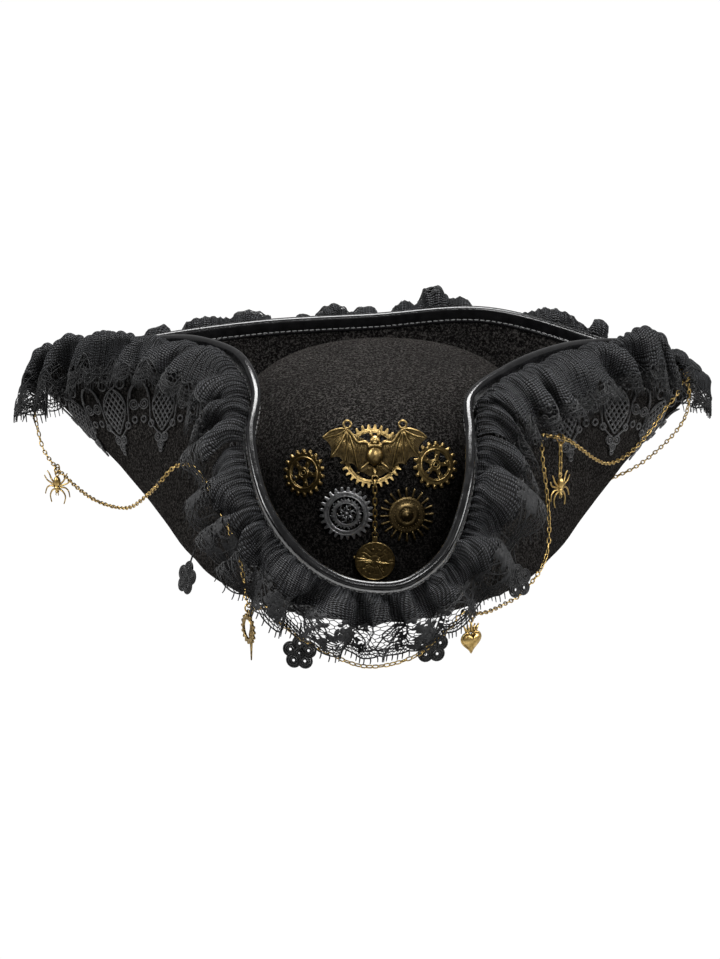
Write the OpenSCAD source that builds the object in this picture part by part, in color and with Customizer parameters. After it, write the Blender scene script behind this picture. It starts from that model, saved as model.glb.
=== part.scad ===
// Tricorn pirate hat: a felt crown with a brim turned up on three sides, a bound edge, a gathered
// lace ruffle, guipure trim, tacked chains with charms, and metal ornaments sewn to the crown.
// The centre of the head opening is the origin, +Z is up, and the front corner points along -Y.

/* [Crown] */
// Half width of the crown at the head line
crown_half_w = 87; // [84:1:90]
// Half length of the crown at the head line
crown_half_l = 106; // [103:1:109]
// Height of the crown above the head line
crown_h = 106; // [104:1:110]
// Squareness of the crown's profile, where 2 is an ellipse
crown_power = 4.2; // [3.8:0.1:4.6]
// Sideways lean of the crown's top
crown_lean = 7; // [0:1:8]

/* [Felt and binding] */
// Thickness of the felt
felt_t = 3; // [2.6:0.1:3.2]
// Width of the edge binding on each side of the felt
binding_w = 8; // [6:0.5:9]
// Thickness of the binding
binding_t = 0.8; // [0.6:0.1:1]
// Number of stitches along the binding
binding_stitches_n = 150; // [100:10:170]

/* [Sweatband] */
// Air between the sweatband and the felt
sweatband_gap = 1.6; // [1.5:0.1:2.2]
// Height of the sweatband
sweatband_h = 30; // [22:1:34]
// Thickness of the sweatband
sweatband_t = 1.2; // [0.8:0.1:1.6]
// Number of stitches along the sweatband's lower edge
sweatband_stitches_n = 60; // [40:5:70]

/* [Lace] */
// Fall of the gathered ruffle from the edge
ruffle_fall = 40; // [34:1:42]
// Depth of the gathers at the ruffle's free edge
ruffle_depth = 6; // [4:0.5:7]
// Width of the guipure trim
guipure_w = 54; // [46:1:58]
// Thickness of the guipure cords
guipure_t = 1.2; // [0.8:0.1:1.4]

/* [Chains and rings] */
// Diameter of the round envelope of the tacked chain
chain_d = 2.6; // [2.2:0.1:2.8]
// Wire radius of the jump rings
ring_wire_r = 0.45; // [0.4:0.01:0.46]
// Number of links between the bat and the medallion
pendant_links = 7; // [5:2:7]

/* [Ornaments] */
// Thickness of the sewn-on gears
gear_t = 1.6; // [1.2:0.1:1.8]
// Radius of the medallion
medallion_r = 10.8; // [9:0.1:11.5]

/* [Hidden] */
tiny = 0.01;

// The brim's edge: [angle of its base point from the front, x, y, z], clockwise from above.
EDGE = [
    [0, 3, -183, 36], [12, -18, -181, 40], [22, -39, -172, 53], [31, -56, -153, 74],
    [40, -64, -124, 99], [50, -62, -96, 117], [62, -72, -62, 127], [76, -95, -22, 125],
    [90, -118, 14, 116], [103, -148, 46, 105], [115, -180, 80, 90], [125, -197, 108, 69],
    [134, -184, 124, 73], [148, -135, 130, 84], [164, -68, 133, 93], [180, 0, 134, 97],
    [196, 68, 133, 101], [212, 135, 129, 84], [226, 182, 122, 71], [235, 194, 106, 67],
    [245, 178, 79, 87], [257, 150, 48, 104], [270, 120, 12, 114], [284, 97, -26, 120],
    [298, 74, -64, 121], [310, 53, -97, 115], [320, 52, -122, 101], [330, 50, -148, 80],
    [340, 39, -170, 53], [350, 21, -181, 39]];
edge_n = len(EDGE);
edge_steps = 3;          // mesh steps between two edge points
SECTION_STEPS = [0, 0.1, 0.22, 0.36, 0.52, 0.68, 0.83];

// Routes of the tacked chain, from one tack to the next.
LEFT_TIP_ROUTE = [[-199, 116, 47], [-197, 114, 34], [-192, 106, 21], [-178, 80, 14],
    [-159, 40, 13], [-138, -4, 22], [-124, -36, 40], [-115, -62, 56]];
LEFT_FRONT_ROUTE = [[-115, -62, 56], [-108, -71, 66], [-100, -81, 71], [-92, -92, 68],
    [-83, -106, 57], [-75, -120, 43], [-69, -131, 27], [-67, -137, 15], [-65, -143, 11],
    [-61, -149, 12], [-56, -155, 15]];
FRONT_ROUTE = [[-56, -155, 15], [-44, -168, 7], [-28, -178, 0], [-4, -184, -8],
    [20, -180, -5], [36, -171, 4], [48, -158, 13]];
RIGHT_FRONT_ROUTE = [[48, -158, 13], [54, -146, 8], [62, -131, 4], [71, -113, 2],
    [79, -100, 2], [86, -88, 5], [92, -78, 10], [96, -70, 18], [97, -65, 28], [96.5, -62, 40],
    [95, -62, 54], [93, -62, 69], [92.5, -62, 82]];
RIGHT_WING_ROUTE = [[92.5, -62, 82], [106, -46, 75], [115, -30, 65], [124, -10, 53],
    [132, 10, 44], [140, 26, 41], [150, 42, 43], [160, 56, 50], [169, 66, 60], [177, 71, 69],
    [180, 73, 78]];
RIGHT_BACK_ROUTE = [[180, 73, 78], [183.5, 79.5, 66], [182.4, 88.4, 49],
    [175, 100, 32.5], [161, 114, 14], [148, 126, 2], [132, 140, -8], [108, 152, -10],
    [80, 158, 2], [58, 158, 22], [46, 156, 46], [42, 152, 68]];

// Where each charm's ring hangs: [route, place along it, turn from the chain's own direction].
LEFT_SPIDER_AT = [LEFT_TIP_ROUTE, 2.6, 34];
RIGHT_SPIDER_AT = [RIGHT_WING_ROUTE, 0.8, 0];
HEART_AT = [RIGHT_FRONT_ROUTE, 0.8, -28];
CLOCK_AT = [LEFT_FRONT_ROUTE, 8, 0];

pendant_top = [1.6, -110.4, 70.5];   // wire centre at the bottom of the bat's tail loop
ring_gap = 0.1;                      // air between two linked wires

// ---------------------------------------------------------------- vectors and curves
function unit(v) = v / norm(v);
function mix(a, b, u) = a + (b - a) * u;
function spline(a, b, c, d, u) = 0.5 * (2 * b + (c - a) * u + (2 * a - 5 * b + 4 * c - d) * u * u
    + (3 * b - a - 3 * c + d) * u * u * u);

function edge_row(i) = EDGE[(i + edge_n) % edge_n] + [360 * floor(i / edge_n), 0, 0, 0];
function rim(t) = let (i = floor(t))
    spline(edge_row(i - 1), edge_row(i), edge_row(i + 1), edge_row(i + 2), t - i);
function edge_at(t) = let (r = rim(t)) [r[1], r[2], r[3]];
function edge_dir(t) = unit(edge_at(t + 0.05) - edge_at(t - 0.05));

function base_at(a) = [-crown_half_w * sin(a), -crown_half_l * cos(a), felt_t / 2];
function base_out(a) = unit([-sin(a) / crown_half_w, -cos(a) / crown_half_l, 0]);

// Middle surface of the brim: t runs round the edge, s runs from the head line to the edge.
function edge_pull(d) = let (steep = d[2] / (norm([d[0], d[1]]) + d[2]))
    [d[0] * (1.6 - 2 * steep), d[1] * (1.6 - 2 * steep), d[2] * 1.55];
function brim_mid(t, s) = let (
        r = rim(t),
        b = base_at(r[0]),
        d = [r[1], r[2], r[3]] - b,
        reach = norm([d[0], d[1]]),
        size = reach + d[2],
        t0 = base_out(r[0]) * (0.75 * size + 25 + 0.2 * reach) - [0, 0, 0.18 * size],
        s2 = s * s,
        s3 = s2 * s)
    b + (3 * s2 - 2 * s3) * d + (s3 - 2 * s2 + s) * t0 + (s3 - s2) * edge_pull(d);

// Unit normal of the brim, pointing to its outer side, away from the crown.
function brim_out(t, s) = s < tiny ? [0, 0, -1] : unit(cross(
    brim_mid(t, s) - brim_mid(t, s - 0.01), brim_mid(t + 0.05, s) - brim_mid(t - 0.05, s)));
function brim_skin(t, s, off) = brim_mid(t, s) + brim_out(t, s) * off;

// Section parameter at a given distance below the edge.
function near_edge(t, w) = let (r = rim(t), d = [r[1], r[2], r[3]] - base_at(r[0]))
    1 - w / norm(edge_pull(d));

// ---------------------------------------------------------------- closed meshes
// Side faces between consecutive loops of n points; ends are capped or the loops close up.
function tube_sides(loops, n, closed) = [
    for (i = [0 : (closed ? loops - 1 : loops - 2)])
    for (j = [0 : n - 1])
    let (k = (i + 1) % loops, m = (j + 1) % n)
    each [[i * n + j, i * n + m, k * n + m], [i * n + j, k * n + m, k * n + j]]];
// Cap of an even loop, laced from its two sides; flip turns it round.
function laced(start, n, flip) = [for (j = [0 : n / 2 - 2])
    let (a = start + j, b = start + j + 1, c = start + n - 2 - j, d = start + n - 1 - j)
    each (flip ? [[a, c, b], [a, d, c]] : [[a, b, c], [a, c, d]])];

module swept(rings, closed = false) {
    n = len(rings[0]);
    caps = closed ? [] : concat(laced(0, n, true), laced((len(rings) - 1) * n, n, false));
    polyhedron(points = [for (r = rings) each r],
        faces = concat(tube_sides(len(rings), n, closed), caps));
}

// Strip with a thickness, from rows of outer and inner points: each ring is out and back.
function strip_ring(outer, inner) = concat(outer, [for (i = [len(inner) - 1 : -1 : 0]) inner[i]]);

// One chain envelope, eight-sided, along a smooth line through its route's points.
function route_row(route, i) = route[max(0, min(len(route) - 1, i))];
function route_at(route, t) = let (i = min(floor(t), len(route) - 2))
    spline(route_row(route, i - 1), route_row(route, i), route_row(route, i + 1),
        route_row(route, i + 2), t - i);
function route_dir(route, t) = unit(route_at(route, t + 0.05) - route_at(route, t - 0.05));

module chain_envelope(route) {
    last = len(route) - 1;
    rings = [for (t = [0 : 0.5 : last]) let (
            d = route_dir(route, max(0.06, min(last - 0.06, t))),
            a = unit(cross(d, [0.3, 0.2, 1])),
            b = cross(d, a))
        [for (j = [0 : 7]) route_at(route, t) + (a * cos(j * 45) + b * sin(j * 45)) * chain_d / 2]];
    color("darkgoldenrod") swept(rings);
}

// ---------------------------------------------------------------- felt
crown_rings = 11;
function crown_loop(v, w, l, h) = let (
        z = h * pow(sin(v), 2 / crown_power),
        k = pow(cos(v), 2 / crown_power),
        shift = crown_lean * pow(z / crown_h, 1.5))
    [for (i = [0 : edge_n * edge_steps - 1]) let (a = rim(i / edge_steps)[0])
        [shift - w * k * sin(a), -l * k * cos(a), z]];

module felt_crown() {
    n = edge_n * edge_steps;
    angles = [for (i = [0 : crown_rings]) 89.4 * pow(i / crown_rings, 1.25)];
    outer = [for (v = angles) crown_loop(v, crown_half_w, crown_half_l, crown_h)];
    inner = [for (i = [crown_rings : -1 : 0]) crown_loop(angles[i], crown_half_w - felt_t,
        crown_half_l - felt_t, crown_h - felt_t)];
    loops = 2 * crown_rings + 2;
    sides = [for (i = [0 : loops - 1], j = [0 : n - 1]) let (k = (i + 1) % loops, m = (j + 1) % n)
        if (i != crown_rings) each [[i * n + j, k * n + m, i * n + m],
            [i * n + j, k * n + j, k * n + m]]];
    caps = concat(laced(crown_rings * n, n, true), laced((crown_rings + 1) * n, n, false));
    color("dimgray") polyhedron(points = [for (r = concat(outer, inner)) each r],
        faces = concat(sides, caps));
}

module felt_brim() {
    rings = [for (i = [0 : edge_n * edge_steps - 1]) let (
            t = i / edge_steps,
            stops = concat(SECTION_STEPS, [near_edge(t, binding_w), 1]))
        strip_ring([for (s = stops) brim_skin(t, s, felt_t / 2)],
            [for (s = stops) brim_skin(t, s, -felt_t / 2)])];
    color("dimgray") swept(rings, closed = true);
}

// Leatherette folded over the felt's edge.
module edge_binding() {
    fit = felt_t / 2 + 0.1;
    rings = [for (i = [0 : edge_n * edge_steps - 1]) let (
            t = i / edge_steps,
            s = near_edge(t, binding_w - tiny),
            along = unit(brim_mid(t, 1) - brim_mid(t, 0.99)))
        [brim_skin(t, s, fit + binding_t),
            brim_skin(t, 1, fit + binding_t) + along * binding_t,
            brim_skin(t, 1, -fit - binding_t) + along * binding_t,
            brim_skin(t, s, -fit - binding_t), brim_skin(t, s, -fit),
            brim_skin(t, 1, -fit) + along * 0.1, brim_skin(t, 1, fit) + along * 0.1,
            brim_skin(t, s, fit)]];
    color("black") swept(rings, closed = true);
}

// Many short thread bars in one closed mesh, each a three-sided prism of the given length.
module thread_bars(places, bar, wide) {
    points = [for (p = places) let (side = unit(cross(p[1], p[2])) * wide)
        each [for (e = [-1, 1]) each [p[0] + p[1] * (e * bar / 2) - side,
            p[0] + p[1] * (e * bar / 2) + side, p[0] + p[1] * (e * bar / 2) + p[2] * wide]]];
    faces = [for (i = [0 : len(places) - 1]) let (a = 6 * i)
        each [[a, a + 2, a + 1], [a + 3, a + 4, a + 5], [a, a + 1, a + 4], [a, a + 4, a + 3],
            [a + 1, a + 2, a + 5], [a + 1, a + 5, a + 4], [a + 2, a, a + 3], [a + 2, a + 3, a + 5]]];
    polyhedron(points = points, faces = faces);
}

// Evenly spaced places along the edge, found by walking its mesh steps.
module binding_stitches() {
    steps = edge_n * edge_steps;
    ends = [for (i = 0, total = 0; i <= steps; total = total
        + norm(edge_at((i + 1) / edge_steps) - edge_at(i / edge_steps)), i = i + 1) [total,
        i / edge_steps]];
    pitch = ends[steps][0] / binding_stitches_n;
    lift = felt_t / 2 + 0.1 + binding_t + 0.02;
    places = [for (i = [0 : binding_stitches_n - 1]) let (
            t = lookup((i + 0.5) * pitch, ends),
            s = near_edge(t, binding_w - 2),
            out = brim_out(t, s),
            along = unit(brim_mid(t + 0.05, s) - brim_mid(t - 0.05, s)))
        [brim_skin(t, s, -lift - 0.03), along, -out]];
    color("gray") thread_bars(places, 3, 0.35);
}

// ---------------------------------------------------------------- sweatband
module oval_ring(inset, wide, low, high) {
    outer = [for (a = [0 : 4 : 356]) [-(crown_half_w - inset) * sin(a),
        -(crown_half_l - inset) * cos(a)]];
    inner = [for (a = [0 : 4 : 356]) [-(crown_half_w - inset - wide) * sin(a),
        -(crown_half_l - inset - wide) * cos(a)]];
    translate([0, 0, low]) linear_extrude(height = high - low) difference() {
        polygon(outer);
        polygon(inner);
    }
}

module sweatband() {
    color("#2b2523") oval_ring(felt_t + sweatband_gap, sweatband_t, 1, 1 + sweatband_h);
}

module sweatband_stitches() {
    inset = felt_t + sweatband_gap + sweatband_t + 0.15;
    places = [for (i = [0 : sweatband_stitches_n - 1]) let (
            a = 360 * i / sweatband_stitches_n,
            out = base_out(a),
            c = [-(crown_half_w - inset) * sin(a), -(crown_half_l - inset) * cos(a), 4])
        [c, unit(cross(out, [0, 0, 1])), -out]];
    color("gray") thread_bars(places, 4, 0.3);
}

// ---------------------------------------------------------------- lace
ruffle_seam = 4;        // distance of the ruffle's seam from the edge
ruffle_stops = 4;       // mesh steps across the ruffle
ruffle_start = felt_t / 2 + binding_t + 0.6;

// Middle line of the ruffle: it leaves the edge outwards and falls over.
function ruffle_mid(t, u) = let (
        s = near_edge(t, ruffle_seam),
        out = brim_out(t, s),
        down = unit(brim_mid(t, s - 0.02) - brim_mid(t, s)),
        p0 = brim_skin(t, s, ruffle_start + 1),
        p1 = p0 + (out + [0, 0, 0.2]) * 0.4 * ruffle_fall,
        p2 = p0 + unit(out * 0.8 + down * 0.2 - [0, 0, 0.6]) * ruffle_fall)
    p0 * pow(1 - u, 2) + p1 * 2 * u * (1 - u) + p2 * u * u;
function ruffle_half(u) = 0.9 + (ruffle_depth / 2 - 0.9) * u;
function ruffle_side(t, u, k) = let (
        along = edge_dir(t),
        fall = unit(ruffle_mid(t, u + 0.02) - ruffle_mid(t, u - 0.02)))
    ruffle_mid(t, u) + unit(cross(fall, along)) * ruffle_half(u) * k;

module ruffle(from, to) {
    count = ceil((to - from) * 2.5);
    rings = [for (i = [0 : count]) let (t = mix(from, to, i / count))
        strip_ring([for (j = [0 : ruffle_stops]) ruffle_side(t, j / ruffle_stops, 1)],
            [for (j = [0 : ruffle_stops]) ruffle_side(t, j / ruffle_stops, -1)])];
    color("#1c1c1e") swept(rings);
}
module ruffle_front() { ruffle(-3.96, 3.96); }
module ruffle_left() { ruffle(4.04, 11.46); }
module ruffle_back() { ruffle(11.54, 18.46); }
module ruffle_right() { ruffle(18.54, 25.96); }

guipure_top = 13;       // distance of the trim's upper edge from the brim's edge
guipure_gap = 0.5;      // air between the trim and the felt
module guipure(from, to) {
    count = ceil((to - from) * 3);
    near = felt_t / 2 + guipure_gap;
    rings = [for (i = [0 : count]) let (
            t = mix(from, to, i / count),
            stops = [for (j = [0 : 6]) near_edge(t, guipure_top + guipure_w * j / 6)])
        strip_ring([for (s = stops) brim_skin(t, s, near + guipure_t)],
            [for (s = stops) brim_skin(t, s, near)])];
    color("#101012") swept(rings);
}
module guipure_left() { guipure(0.25, 11.2); }
module guipure_right() { guipure(19, 29.75); }

// Five-petalled guipure flower in its own plane.
module flower(r) {
    linear_extrude(height = guipure_t) difference() {
        union() {
            for (i = [0 : 4]) rotate(72 * i) translate([0.55 * r, 0]) circle(0.45 * r, $fn = 24);
            circle(0.4 * r, $fn = 24);
        }
        for (i = [0 : 4]) rotate(72 * i) translate([0.62 * r, 0]) circle(0.16 * r, $fn = 16);
    }
}
flower_r = 9.5;
// Flowers that hang below the ruffle: [x, y, z, turn about Z, lean].
FLOWERS = [[-100, -92, 10, -60, 15], [-38, -165, -7, -14, 6], [31, -166, -3, 12, 6],
    [78, -118, 17, 40, 12]];
module guipure_flowers() {
    color("#101012") for (f = FLOWERS)
        translate([f[0], f[1], f[2]]) rotate([90 - f[4], 0, f[3]]) rotate(18) flower(flower_r);
}

// ---------------------------------------------------------------- tacked chain
module chain_left_tip() { chain_envelope(LEFT_TIP_ROUTE); }
module chain_left_front() { chain_envelope(LEFT_FRONT_ROUTE); }
module chain_front() { chain_envelope(FRONT_ROUTE); }
module chain_right_front() { chain_envelope(RIGHT_FRONT_ROUTE); }
module chain_right_wing() { chain_envelope(RIGHT_WING_ROUTE); }
module chain_right_back() { chain_envelope(RIGHT_BACK_ROUTE); }

// Ring whose hole faces along the horizontal direction at the given turn about Z.
module ring(radius, wire, turn) {
    rotate([0, 90, turn]) rotate_extrude($fn = 48) translate([radius, 0]) circle(wire, $fn = 20);
}

// Thread loops that hold the chain to the lace at the ends of its swags.
TACKS = [[LEFT_TIP_ROUTE, 0.15], [LEFT_TIP_ROUTE, 6.85], [LEFT_FRONT_ROUTE, 9.8],
    [RIGHT_FRONT_ROUTE, 0.2], [RIGHT_FRONT_ROUTE, 11.8], [RIGHT_WING_ROUTE, 9.8],
    [RIGHT_BACK_ROUTE, 10.8]];
module chain_tacks() {
    color("black") for (k = TACKS) {
        d = route_dir(k[0], k[1]);
        translate(route_at(k[0], k[1]))
            rotate([0, acos(d[2]), atan2(d[1], d[0])])
            rotate_extrude($fn = 32) translate([chain_d / 2 + 0.42, 0]) circle(0.35, $fn = 16);
    }
}

// ---------------------------------------------------------------- gears
function front_y(x, z) = let (
        k = pow(1 - pow(z / crown_h, crown_power), 1 / crown_power),
        q = (x - crown_lean * pow(z / crown_h, 1.5)) / (crown_half_w * k))
    -crown_half_l * k * sqrt(1 - q * q);

// Places a flat piece, drawn in the XY plane with its face up, on the front of the crown.
module on_front(x, z, gap, turn, lean) {
    translate([x, front_y(x, z) - gap, z]) rotate([90 - lean, 0, turn]) children();
}

// Toothed outline: each tooth has a root, a flank and a tip as shares of the pitch.
function toothed(root, tip, teeth, wide) = [for (i = [0 : teeth - 1])
    let (a = 360 * i / teeth, h = 180 * wide / teeth)
    each [[root * cos(a - h * 1.3), root * sin(a - h * 1.3)], [tip * cos(a - h * 0.8),
        tip * sin(a - h * 0.8)], [tip * cos(a + h * 0.8), tip * sin(a + h * 0.8)],
        [root * cos(a + h * 1.3), root * sin(a + h * 1.3)]]];

module spoked_gear(root, tip, teeth, spokes) {
    color("goldenrod") {
        linear_extrude(height = gear_t) difference() {
            polygon(toothed(root, tip, teeth, 0.5));
            circle(0.72 * root, $fn = 48);
        }
        linear_extrude(height = gear_t) difference() {
            for (i = [0 : spokes - 1]) rotate(360 * i / spokes) translate([0, -0.7])
                square([0.74 * root, 1.4]);
            circle(0.1 * root, $fn = 24);
        }
        difference() {
            cylinder(h = gear_t + 0.5, r = 0.26 * root, $fn = 36);
            translate([0, 0, -1]) cylinder(h = gear_t + 3, r = 0.1 * root, $fn = 24);
        }
        translate([0, 0, gear_t - 0.1]) rotate_extrude($fn = 48) translate([0.8 * root, 0])
            square([0.5, 0.5]);
    }
}
module left_gear() { on_front(-36.2, 69, 1.1, -31, 15) spoked_gear(10.8, 12.9, 18, 5); }
module right_gear() { on_front(33.7, 74.5, 1.1, 24, 19) spoked_gear(10.8, 12.9, 18, 5); }

module bat_gear() {
    color("darkgoldenrod") on_front(0, 80.5, 1.2, 0, 21) linear_extrude(height = 1.4)
        difference() {
            polygon(toothed(15.2, 17.3, 30, 0.42));
            circle(12.6, $fn = 60);
        }
}

module silver_gear() {
    color("silver") on_front(-13.6, 50.6, 0.8, -6, 5) {
        linear_extrude(height = gear_t) difference() {
            polygon(toothed(12.4, 14.6, 25, 0.4));
            circle(9.6, $fn = 60);
        }
        linear_extrude(height = gear_t) for (i = [0 : 3]) rotate(45 + 90 * i)
            translate([6.2, -0.6]) square([3.7, 1.2]);
        linear_extrude(height = gear_t) difference() {
            polygon(toothed(5.8, 7.2, 16, 0.5));
            circle(4.2, $fn = 36);
        }
    }
}
module silver_gear_star() {
    star = [for (i = [0 : 15]) let (r = i % 2 == 0 ? 4 : 2) [r * cos(22.5 * i), r * sin(22.5 * i)]];
    color("silver") on_front(-13.6, 50.6, 0.8, -6, 5) {
        linear_extrude(height = gear_t + 0.6) polygon(star);
        cylinder(h = gear_t + 1.1, r = 1.3, $fn = 24);
    }
}

module sun_gear() {
    color("darkgoldenrod") on_front(18.6, 49.8, 1.1, 8, 5) {
        for (i = [0 : 17]) rotate(20 * i) {
            translate([9.4, 0, gear_t / 2]) rotate([0, 90, 0]) cylinder(h = 5, r = 0.75, $fn = 16);
            translate([14.4, 0, gear_t / 2]) sphere(0.75, $fn = 16);
        }
        cylinder(h = gear_t, r = 10, $fn = 60);
        translate([0, 0, gear_t - tiny]) rotate_extrude($fn = 60) translate([8, 0])
            circle(0.5, $fn = 16);
        cylinder(h = gear_t + 0.8, r = 5.4, $fn = 48);
        cylinder(h = gear_t + 1.5, r = 2.8, $fn = 36);
    }
}

// Sewing thread through the gears.
module ornament_stitches() {
    color("black") {
        on_front(-36.2, 69, 1.1, -31, 15) thread_pair(6, 18);
        on_front(33.7, 74.5, 1.1, 24, 19) thread_pair(6, 18);
        on_front(-13.6, 50.6, 0.8, -6, 5) thread_pair(8.4, 0);
        on_front(0, 80.5, 1.2, 0, 21) thread_pair(11.9, 0);
    }
}
module thread_pair(r, turn) {
    for (a = [turn + 18, turn + 198]) rotate(a) translate([r, 0, -0.9])
        cylinder(h = gear_t + 1.6, r = 0.4, $fn = 16);
}

// ---------------------------------------------------------------- bat
// Scalloped wing outline: four finger tips with hollows between them.
wing_tips = [[28, 8.5], [24, -2.5], [16.5, -6], [9, -7.5]];
function hollow(a, b, depth) = [for (i = [1 : 4]) let (u = i / 5)
    mix(a, b, u) + unit([a[1] - b[1], b[0] - a[0]]) * -depth * sin(180 * u)];
wing_outline = concat([[3, 7], [8, 9], [15, 14], [20, 12.5], wing_tips[0]],
    hollow(wing_tips[0], wing_tips[1], 2.2), [wing_tips[1]],
    hollow(wing_tips[1], wing_tips[2], 2.4), [wing_tips[2]],
    hollow(wing_tips[2], wing_tips[3], 2.2), [wing_tips[3], [3, -3]]);
wrist = [15, 12.6];

module bone(a, b, r) {
    d = b - a;
    translate([a[0], a[1], 0.6]) rotate(atan2(d[1], d[0])) translate([0, -r])
        cube([norm(d) * 0.98, 2 * r, 0.6 + r]);
}
module bat_wing() {
    linear_extrude(height = 1.2) polygon(wing_outline);
    for (i = [0 : 3]) bone(wrist, wing_tips[i], 0.5 + 0.02 * i);
    bone([3, 6], wrist, 0.7);
    translate([14.8, 15.7, 0.3]) difference() {
        cylinder(h = 1.1, r = 2.6, $fn = 36);
        translate([0, 0, -1]) cylinder(h = 4, r = 1.4, $fn = 36);
    }
}
module egg(w, l) {
    rotate([-90, 0, 0]) rotate_extrude($fn = 36) polygon([for (a = [-90 : 15 : 90])
        [w * cos(a), l * sin(a)]]);
}
module bat_pendant() {
    plane = [pendant_top[0], -103.6, 84];
    color("gold") {
        translate(plane) rotate([80, 0, 0]) {
            bat_wing();
            mirror([1, 0, 0]) bat_wing();
            translate([0, -1, 1.6]) egg(4.4, 5.6);
            translate([0, 7.4, 1.6]) egg(3, 3.4);
            for (k = [-1, 1]) translate([1.8 * k - 0.5, 9, 1.1]) cube([1, 3.2, 1.05]);
        }
        translate(pendant_top + [0, 0, 1.6]) ring(1.6, 0.5, 90);
        translate(pendant_top + [0, 0, 2.9]) rotate([-50, 0, 0]) translate([-0.7, -0.7, 0])
            cube([1.4, 1.3, 9]);
    }
}

// ---------------------------------------------------------------- hanging pendant
jump_r = 2.4;
link_wire = 0.38;
link_end = 0.92;
link_half = 1.105;
link_pitch = 2 * (link_half + link_end) - 2 * link_wire - ring_gap / 2;
function below(p, drop) = p - [0, 0, drop];
chain_top = below(pendant_top, 2 * jump_r - 2 * ring_wire_r - ring_gap);
link_drop = 2 * (link_half + link_end) - ring_wire_r - link_wire - ring_gap / 2;
small_ring_at = below(chain_top, link_drop + (pendant_links - 1) * link_pitch);
small_r = 2;
medallion_at = below(small_ring_at, 2 * small_r - ring_wire_r - link_wire - ring_gap / 2);
medallion_loop_r = 1.5;

module pendant_ring() {
    color("goldenrod") translate(below(chain_top, -jump_r)) ring(jump_r, ring_wire_r, 0);
}

// Oval link standing on end in the XZ plane, turned about Z.
module chain_link(turn) {
    rotate([90, 0, turn]) {
        for (k = [0, 180]) rotate(k) translate([0, link_half]) rotate_extrude(angle = 180, $fn = 32)
            translate([link_end, 0]) circle(link_wire, $fn = 16);
        for (k = [-1, 1]) translate([k * link_end, link_half, 0]) rotate([90, 0, 0])
            cylinder(h = 2 * link_half, r = link_wire, $fn = 16);
    }
}
module pendant_chain() {
    color("darkgoldenrod") for (i = [0 : pendant_links - 1])
        translate(below(chain_top, link_drop + i * link_pitch - link_half - link_end))
            chain_link(i % 2 == 0 ? 0 : 90);
}
module medallion_ring() {
    color("goldenrod") translate(below(medallion_at, -small_r)) ring(small_r, ring_wire_r, 0);
}
module medallion() {
    loop_c = below(medallion_at, medallion_loop_r - 2 * ring_wire_r - ring_gap);
    disc_c = below(loop_c, medallion_loop_r + 2.4 + medallion_r);
    color("darkgoldenrod") {
        translate(loop_c) ring(medallion_loop_r, ring_wire_r, 90);
        translate(below(loop_c, medallion_loop_r + 2)) cube([3, 1.2, 3.6], center = true);
        translate(disc_c + [0, 0.7, 0]) rotate([90, 0, 0]) {
            cylinder(h = 1.4, r = medallion_r, $fn = 72);
            rotate_extrude($fn = 72) translate([medallion_r - 0.5, 0]) square([0.5, 1.7]);
            for (i = [0 : 11]) rotate(30 * i) translate([3, -0.25, 0]) cube([6, 0.5, 1.6]);
            cylinder(h = 1.8, r = 2, $fn = 30);
        }
        translate(disc_c - [medallion_r + 0.3, 0, -2]) sphere(0.9, $fn = 20);
    }
}

// ---------------------------------------------------------------- charms
charm_ring_r = 2.6;
charm_loop_r = 1.3;
loop_wire = 0.4;
function anchor(at) = route_at(at[0], at[1]);
function turn_of(at) = let (d = route_dir(at[0], at[1])) atan2(d[1], d[0]) + at[2];
charm_drop = 2 * charm_ring_r - chain_d / 2 - ring_wire_r - 0.35;
loop_drop = 2 * charm_loop_r - ring_wire_r - loop_wire - ring_gap;

module charm_ring(at) {
    color("goldenrod") translate(below(anchor(at), charm_drop - charm_ring_r))
        ring(charm_ring_r, ring_wire_r, turn_of(at));
}
// Draws a charm, hanging from [0, 0, 0] in its own XZ plane, below a ring.
module charm_body(at) {
    translate(below(anchor(at), charm_drop)) rotate(turn_of(at)) {
        translate([0, 0, -loop_drop + charm_loop_r]) ring(charm_loop_r, loop_wire, 90);
        translate([0, 0, -loop_drop]) children();
    }
}

function arc_strip(r, wide, a0, a1) = concat(
    [for (i = [0 : 8]) let (a = mix(a0, a1, i / 8)) [r * cos(a), r * sin(a)]],
    [for (i = [8 : -1 : 0]) let (a = mix(a0, a1, i / 8), q = r - wide * (1 - 0.5 * i / 8))
        [q * cos(a), q * sin(a)]]);
module spider_side() {
    translate([4.9, 1.2]) polygon(arc_strip(4.4, 0.9, 165, 35));
    translate([5.2, -1.4]) polygon(arc_strip(4.6, 0.9, 150, 20));
    translate([5.4, -4.4]) polygon(arc_strip(5.2, 0.9, 148, -8));
    translate([3.2, -8.4]) polygon(arc_strip(5, 0.9, 132, -50));
}
module spider() {
    color("gold") {
        rotate([90, 0, 0]) translate([0, -9, -0.6]) linear_extrude(height = 1.2) {
            translate([0, 4]) spider_side();
            translate([0, 4]) mirror([1, 0]) spider_side();
            translate([-1.1, -1]) square([2.2, 10]);
        }
        translate([0, 0, -3.4]) rotate([-90, 0, 0]) egg(2.3, 1.9);
        translate([0, 0, -3.6]) rotate_extrude($fn = 36)
            polygon([for (a = [-90 : 15 : 90]) [2.2 * cos(a), 3.6 * sin(a)]]);
        translate([0, 0, -9]) sphere(1.9, $fn = 28);
    }
}
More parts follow.
